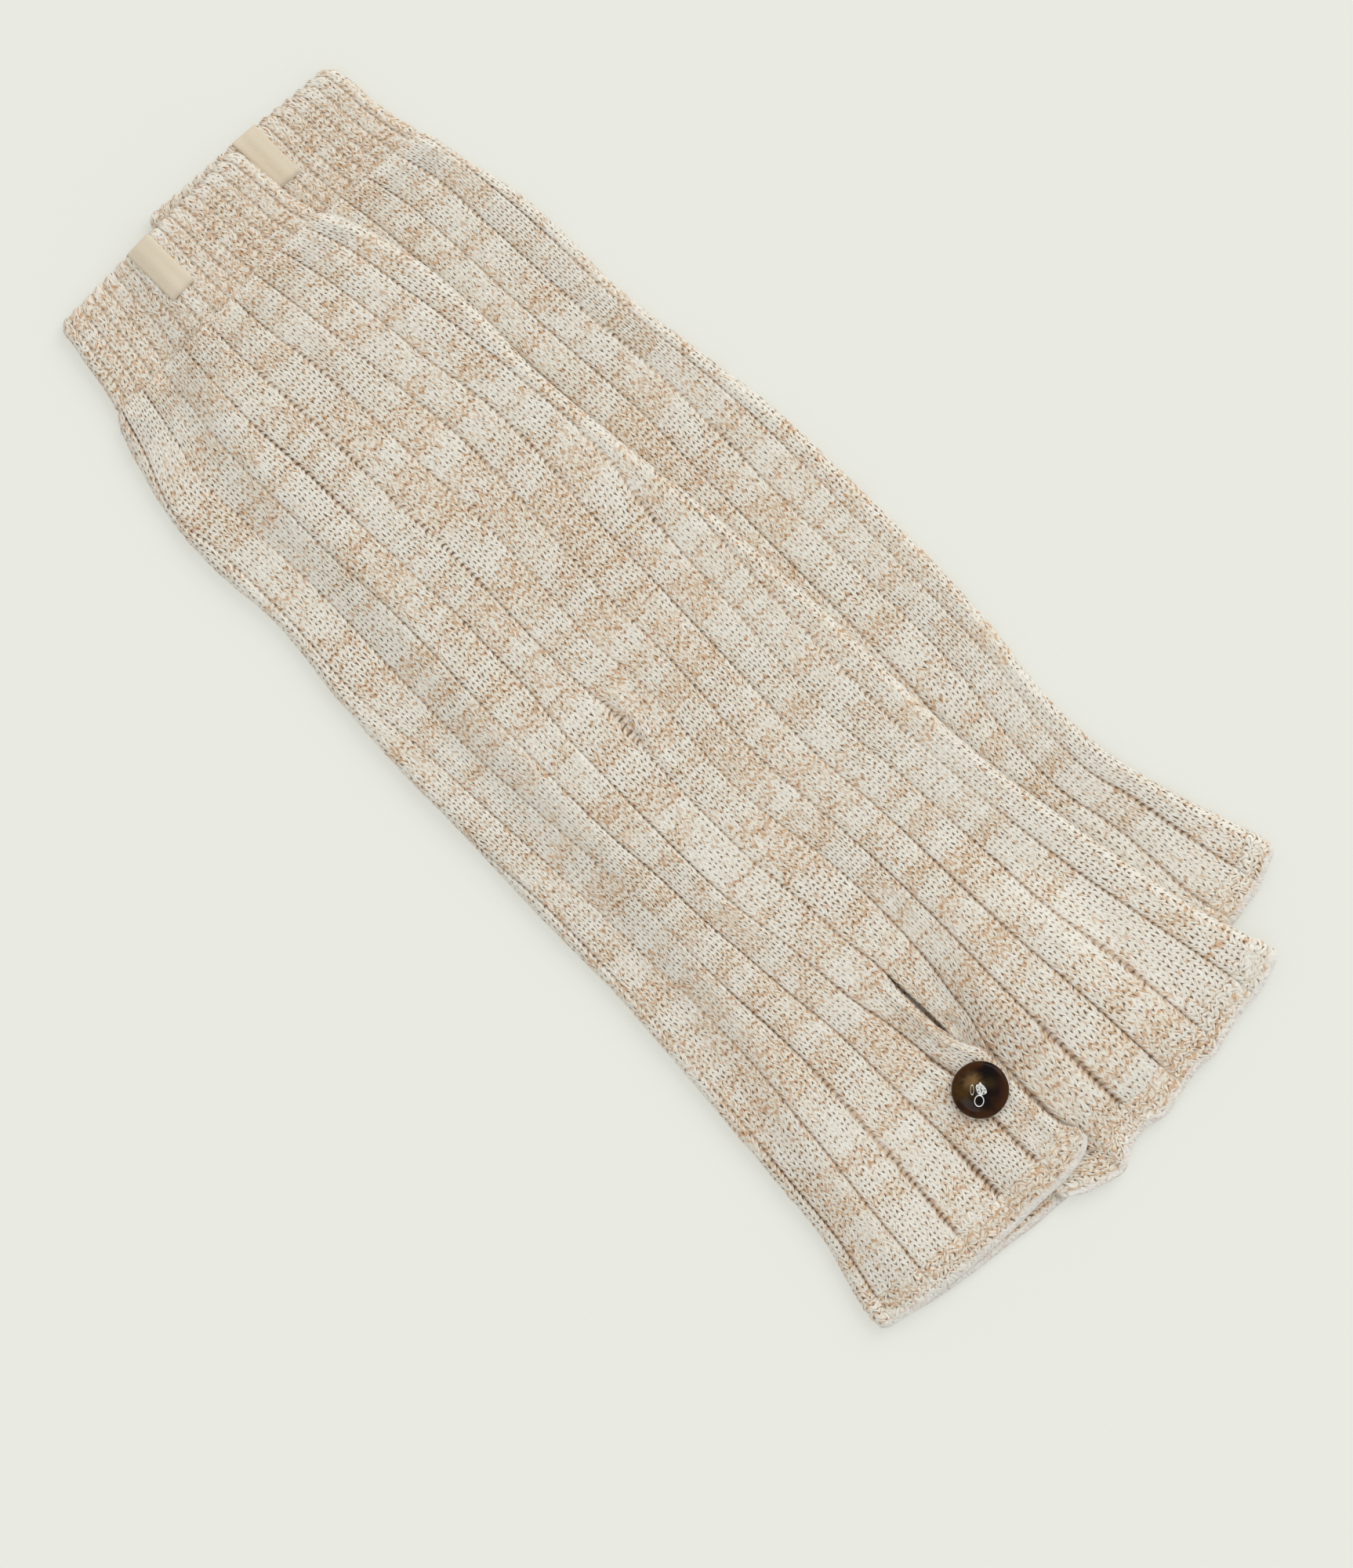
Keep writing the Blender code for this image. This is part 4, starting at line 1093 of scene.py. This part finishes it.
def horn_material(name, middle):
    """Polished dark horn: near black, with olive and red-brown clouds, and a painted honey highlight.
    """
    material, tree, shader = blank(name, 0.2)
    x, y = plan_place(tree, middle)
    clouds = noise(tree, place_of(tree, x, y, 5.0), 0.16, 2.0, 0.5)
    grain = noise(tree, place_of(tree, x, y, 9.0), 0.7, 2.0, 0.6)
    out = (x * x + y * y).power(0.5)
    colour = mixed(tree, clouds.between(0.4, 0.6), HORN_BLACK, HORN_BROWN)
    rim = out.between(6.0, 9.5) * clouds.between(0.3, 0.55) * 0.6
    colour = mixed(tree, rim, colour, HORN_RIM)
    # olive glow and painted amber highlights in the horn's colour
    for glow_x, glow_y, reach, strength, tone in HORN_TINTS_AND_HIGHLIGHTS:
        away = ((x - glow_x) * (x - glow_x) + (y - glow_y) * (y - glow_y)).power(0.5)
        glow = (away + (grain - 0.5) * 3.0).between(reach, 0.0)
        colour = mixed(tree, glow * strength, colour, tone)
    tree.links.new(colour, shader.inputs["Base Color"])
    shader.inputs["Specular IOR Level"].default_value = 0.1
    bumped(tree, shader, grain, 0.00006, 0.2)
    return material


THREAD_DARK, THREAD_LIGHT = (0.66, 0.65, 0.62), (0.93, 0.93, 0.90)


def thread_material():
    material, tree, shader = blank("white sewing thread", 0.55)
    fine = noise(tree, object_place(tree), 2600.0, 2.0)
    tree.links.new(mixed(tree, fine, THREAD_DARK, THREAD_LIGHT), shader.inputs["Base Color"])
    bumped(tree, shader, fine, 0.00008, 0.6)
    return material


knit = knit_material("marled knit", "stocking")
moss_of = {
    which: knit_material(f"marled moss stitch, {which}", "moss", float(rows_at(hem_end_of[which])))
    for which in ("lower", "upper")
}
ribbing = knit_material("marled rib", "cuff")
tape, thread = tape_material(), thread_material()


# ---- Label, button and thread ------------------------------------------------------------
LABEL_WIDTH, LABEL_THICK = 10.5, 0.3
LABEL_SHOWN = 23.0  # length of tape on the cuff's face
LABEL_COLUMNS = 15
label_x_of = {"upper": UPPER_LABEL, "lower": LOWER_LABEL}


def make_label(which):
    """A folded tape: up the cuff's face and over its top edge."""
    top = cuffs_of[which]["left"][0][-1] + SEAM
    end = top - LABEL_SHOWN
    crown = FLAT + CUFF_RIB + STRAND + 0.1
    # up the cuff's face, round its top edge and down inside
    profile = [(end + 2.2 * i, crown) for i in range(10)]
    profile += [(top - 1.6, crown), (top - 0.7, crown - 0.25), (top, crown - 0.9)]
    profile += [(top + 0.1, crown - 2.0), (top, FLAT - WALL + SEAM)]
    middle = curve(lines_of[which]["flap"], CUFF_LINE)
    places = []
    for share in np.linspace(0, 1, LABEL_COLUMNS):
        x = label_x_of[which] + (share - 0.5) * LABEL_WIDTH
        # it waves over the ribs, and its sides and lower end are sewn close
        wave = 0.11 * math.cos(2 * math.pi * (x + 1.0) / 5.6)
        sides = 0.3 * abs(2 * share - 1) ** 6
        for y, z in profile:
            sewn = max(0.4 * step(end + 3, end, y), sides)
            lift = z + wave - sewn + float(rise_of(which, np.array(x), np.array(y)))
            places.append((x, y + lean_of[which] * (x - middle), lift))
    grid = np.arange(len(places)).reshape(LABEL_COLUMNS, len(profile))
    mesh = bpy.data.meshes.new(f"{which}_label_tape")
    world = np.array(places) * MM + np.array(home)
    mesh.from_pydata(world.tolist(), [], quads_of(grid.T))
    label = bpy.data.objects.new(f"{which}_label_tape", mesh)
    bpy.context.scene.collection.objects.link(label)
    bpy.context.view_layer.objects.active = label
    thicken = label.modifiers.new("woven thickness", "SOLIDIFY")
    thicken.thickness = LABEL_THICK * MM
    thicken.offset = 1.0
    bpy.ops.object.modifier_apply(modifier=thicken.name)
    for face in label.data.polygons:
        face.use_smooth = True
    label.data.materials.append(tape)
    return label


def select_faces(obj, test):
    """In edit mode, selects just the faces that pass the test."""
    shape = bmesh.from_edit_mesh(obj.data)
    for face in shape.faces:
        face.select_set(False)
    shape.select_flush(False)
    for face in shape.faces:
        if test(face):
            face.select_set(True)
    bmesh.update_edit_mesh(obj.data)


def button_place(which):
    """A button's middle, and the height of its lower face."""
    low_corner, high_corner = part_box(f"{which}_button")
    return (low_corner + high_corner) / 2, low_corner.z


HORN_DEPTH = 2.2  # thickness of the button's edge
HORN_LEVEL = 1.5  # height of its middle over the lower face
# Steps from the rim inwards: how wide each is, and how far it goes out from the button.
HORN_FACE = (
    (0.55, 0.75), (0.75, 0.45), (0.9, -0.1), (1.0, -0.55), (1.2, -0.6), (1.6, -0.35), (1.8, -0.12),
)
HORN_BACK = ((0.8, 0.5), (2.0, 0.4))
HOLE_RADIUS = 0.85
HOLE_OFFSET = 1.7  # from the button's middle


def make_button():
    """The upper leg warmer's turned button: dished, with a round rim and four holes."""
    middle, lower_face = button_place("upper")
    bpy.ops.mesh.primitive_cylinder_add(
        vertices=96, radius=BUTTON_RADIUS * MM, depth=HORN_DEPTH * MM,
        location=(middle.x, middle.y, lower_face + HORN_LEVEL * MM),
    )
    button = bpy.context.object
    button.name = "upper_button_horn"
    bpy.ops.object.transform_apply(location=True, rotation=True, scale=True)
    bpy.ops.object.mode_set(mode="EDIT")
    bpy.ops.mesh.select_mode(type="FACE")
    for sign, rings in ((1, HORN_FACE), (-1, HORN_BACK)):
        select_faces(button, lambda f, s=sign: f.normal.z * s > 0.9)
        for inwards, outwards in rings:
            bpy.ops.mesh.inset(thickness=inwards * MM, depth=0)
            bpy.ops.transform.translate(value=(0, 0, sign * outwards * MM))
    bpy.ops.object.mode_set(mode="OBJECT")
    for quarter in (1, 2, 3, 4):
        turn = quarter * math.pi / 2
        offset = Vector((math.cos(turn), math.sin(turn), 0)) * HOLE_OFFSET * MM
        bpy.ops.mesh.primitive_cylinder_add(
            vertices=20, radius=HOLE_RADIUS * MM, depth=9 * MM, location=middle + offset,
        )
        drill = bpy.context.object
        bored = button.modifiers.new("hole", "BOOLEAN")
        bored.object, bored.solver = drill, "EXACT"
        bpy.context.view_layer.objects.active = button
        bpy.ops.object.modifier_apply(modifier=bored.name)
        bpy.data.objects.remove(drill)
    bpy.ops.object.select_all(action="DESELECT")
    button.select_set(True)
    bpy.ops.object.shade_smooth_by_angle(angle=math.radians(40))
    button.data.materials.append(horn_material("dark horn of the upper button", middle))
    return button


# Loops of the sewing thread over the button: middle, half length, half width, turn, height, radius.
THREADS = (
    (0.3, 0.0, 1.9, 0.55, 50, 0.35, 0.45), (0.1, -0.7, 1.5, 0.5, 20, 0.25, 0.42),
    (0.9, 0.5, 1.5, 0.45, 112, 0.45, 0.40), (-0.5, 0.6, 1.4, 0.5, 65, 0.3, 0.42),
    (1.2, -0.4, 1.5, 0.45, 80, 0.25, 0.38), (0.5, 1.1, 1.3, 0.4, 30, 0.5, 0.36),
    (-0.3, -1.3, 1.2, 0.4, 140, 0.3, 0.36), (-3.05, -2.46, 1.95, 1.6, 40, 0.55, 0.2),
    (-2.05, 2.05, 1.75, 0.55, 45, 0.6, 0.2),
)
DISH_LEVEL = 2.55  # height of the button's dish over its lower face


def make_thread():
    """White thread: a bundle over the holes and two slack loops beside it."""
    middle, lower_face = button_place("upper")
    made = []
    bpy.ops.object.select_all(action="DESELECT")
    for x, y, length, width, turn, lift, radius in THREADS:
        at = (middle.x + x * MM, middle.y + y * MM, lower_face + (DISH_LEVEL + lift) * MM)
        bpy.ops.mesh.primitive_torus_add(
            location=at, major_segments=28, minor_segments=8,
            major_radius=length * MM, minor_radius=radius * MM,
        )
        loop = bpy.context.object
        loop.scale = (1, width / length, 1)
        loop.rotation_euler = (0, 0, math.radians(turn))
        bpy.ops.object.transform_apply(location=True, rotation=True, scale=True)
        made.append(loop)
    bpy.ops.object.select_all(action="DESELECT")
    for loop in made:
        loop.select_set(True)
    bpy.context.view_layer.objects.active = made[0]
    bpy.ops.object.join()
    bundle = bpy.context.object
    bundle.name = "upper_sewing_thread"
    bpy.ops.object.shade_smooth()
    bundle.data.materials.append(thread)
    return bundle


def copied(piece, name, shift):
    """A copy of a piece with a mesh of its own, moved by shift."""
    bpy.ops.object.select_all(action="DESELECT")
    piece.select_set(True)
    bpy.context.view_layer.objects.active = piece
    bpy.ops.object.duplicate(linked=False)
    twin = bpy.context.object
    twin.name = name
    twin.location = shift
    bpy.ops.object.transform_apply(location=True, rotation=False, scale=False)
    return twin


def finish_piece(piece, node):
    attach(piece, "root")
    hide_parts(node)


buttons, threads = {"upper": make_button()}, {"upper": make_thread()}
lower_middle = button_place("lower")[0]
shift = lower_middle - button_place("upper")[0]
buttons["lower"] = copied(buttons["upper"], "lower_button_horn", shift)
buttons["lower"].data.materials[0] = horn_material("dark horn of the lower button", lower_middle)
threads["lower"] = copied(threads["upper"], "lower_sewing_thread", shift)
for which, under in (("lower", "floor"), ("upper", "lower_leg_knit")):
    leg, hem, cuff = make_leg(which), make_hem(which), make_cuff(which)
    label, button, sewing = make_label(which), buttons[which], threads[which]
    for piece, material in ((leg, knit), (hem, moss_of[which]), (cuff, ribbing)):
        piece.data.materials.append(material)
    finish_piece(leg, f"{which}_leg")
    finish_piece(hem, f"{which}_hem")
    finish_piece(cuff, f"{which}_cuff")
    finish_piece(label, f"{which}_label")
    finish_piece(button, f"{which}_button")
    finish_piece(sewing, f"{which}_button_thread")

# ---- Floor, light and camera ---------------------------------------------------------
VIEW_LENGTH = 552.2  # what the picture takes in along its height, in mm
LENS_MM = 250.0
SENSOR_MM = 36.0
EYE_LEVEL = 8.0  # height at which the picture has its scale
FLOOR_TONES = (0.364, 0.368, 0.340), (0.367, 0.371, 0.343)
FLOOR_GLOW = 1.2  # it is lit from below too, so shadows stay faint
SKY_STRENGTH, SUN_STRENGTH = 0.76, 1.18
SUN_PLACE = (2.0, 0.4, 1.7)  # in metres; it shines from there at the frame's origin
SUN_WIDTH = 45  # degrees: a wide source, so shadows are soft

bpy.ops.mesh.primitive_plane_add(size=6.0, location=(0, 0, -0.0004))
floor = bpy.context.object
floor.name = "floor"
pale, tree, shader = blank("pale floor", 0.9)
colour = mixed(tree, noise(tree, object_place(tree), 3.0, 2.0), *FLOOR_TONES)
tree.links.new(colour, shader.inputs["Base Color"])
tree.links.new(colour, shader.inputs["Emission Color"])
shader.inputs["Emission Strength"].default_value = FLOOR_GLOW
floor.data.materials.append(pale)

distance = LENS_MM * VIEW_LENGTH / SENSOR_MM + EYE_LEVEL
bpy.ops.object.camera_add(location=home + Vector((0, 0, distance * MM)), rotation=(0, 0, -math.pi / 4))
camera = bpy.context.object
camera.data.lens = LENS_MM
camera.data.sensor_width = SENSOR_MM
camera.data.clip_end = 100
bpy.context.scene.camera = camera

world = bpy.data.worlds.new("studio")
world.use_nodes = True
world.node_tree.nodes["Background"].inputs["Color"].default_value = (1, 1, 1, 1)
world.node_tree.nodes["Background"].inputs["Strength"].default_value = SKY_STRENGTH
bpy.context.scene.world = world

bpy.ops.object.light_add(type="SUN", location=SUN_PLACE)
window = bpy.context.object
window.name = "wide window light"
window.data.energy = SUN_STRENGTH
window.data.angle = math.radians(SUN_WIDTH)
window.rotation_mode = "QUATERNION"
window.rotation_quaternion = (-window.location).to_track_quat("-Z", "Y")
bpy.context.scene.view_settings.view_transform = "Standard"
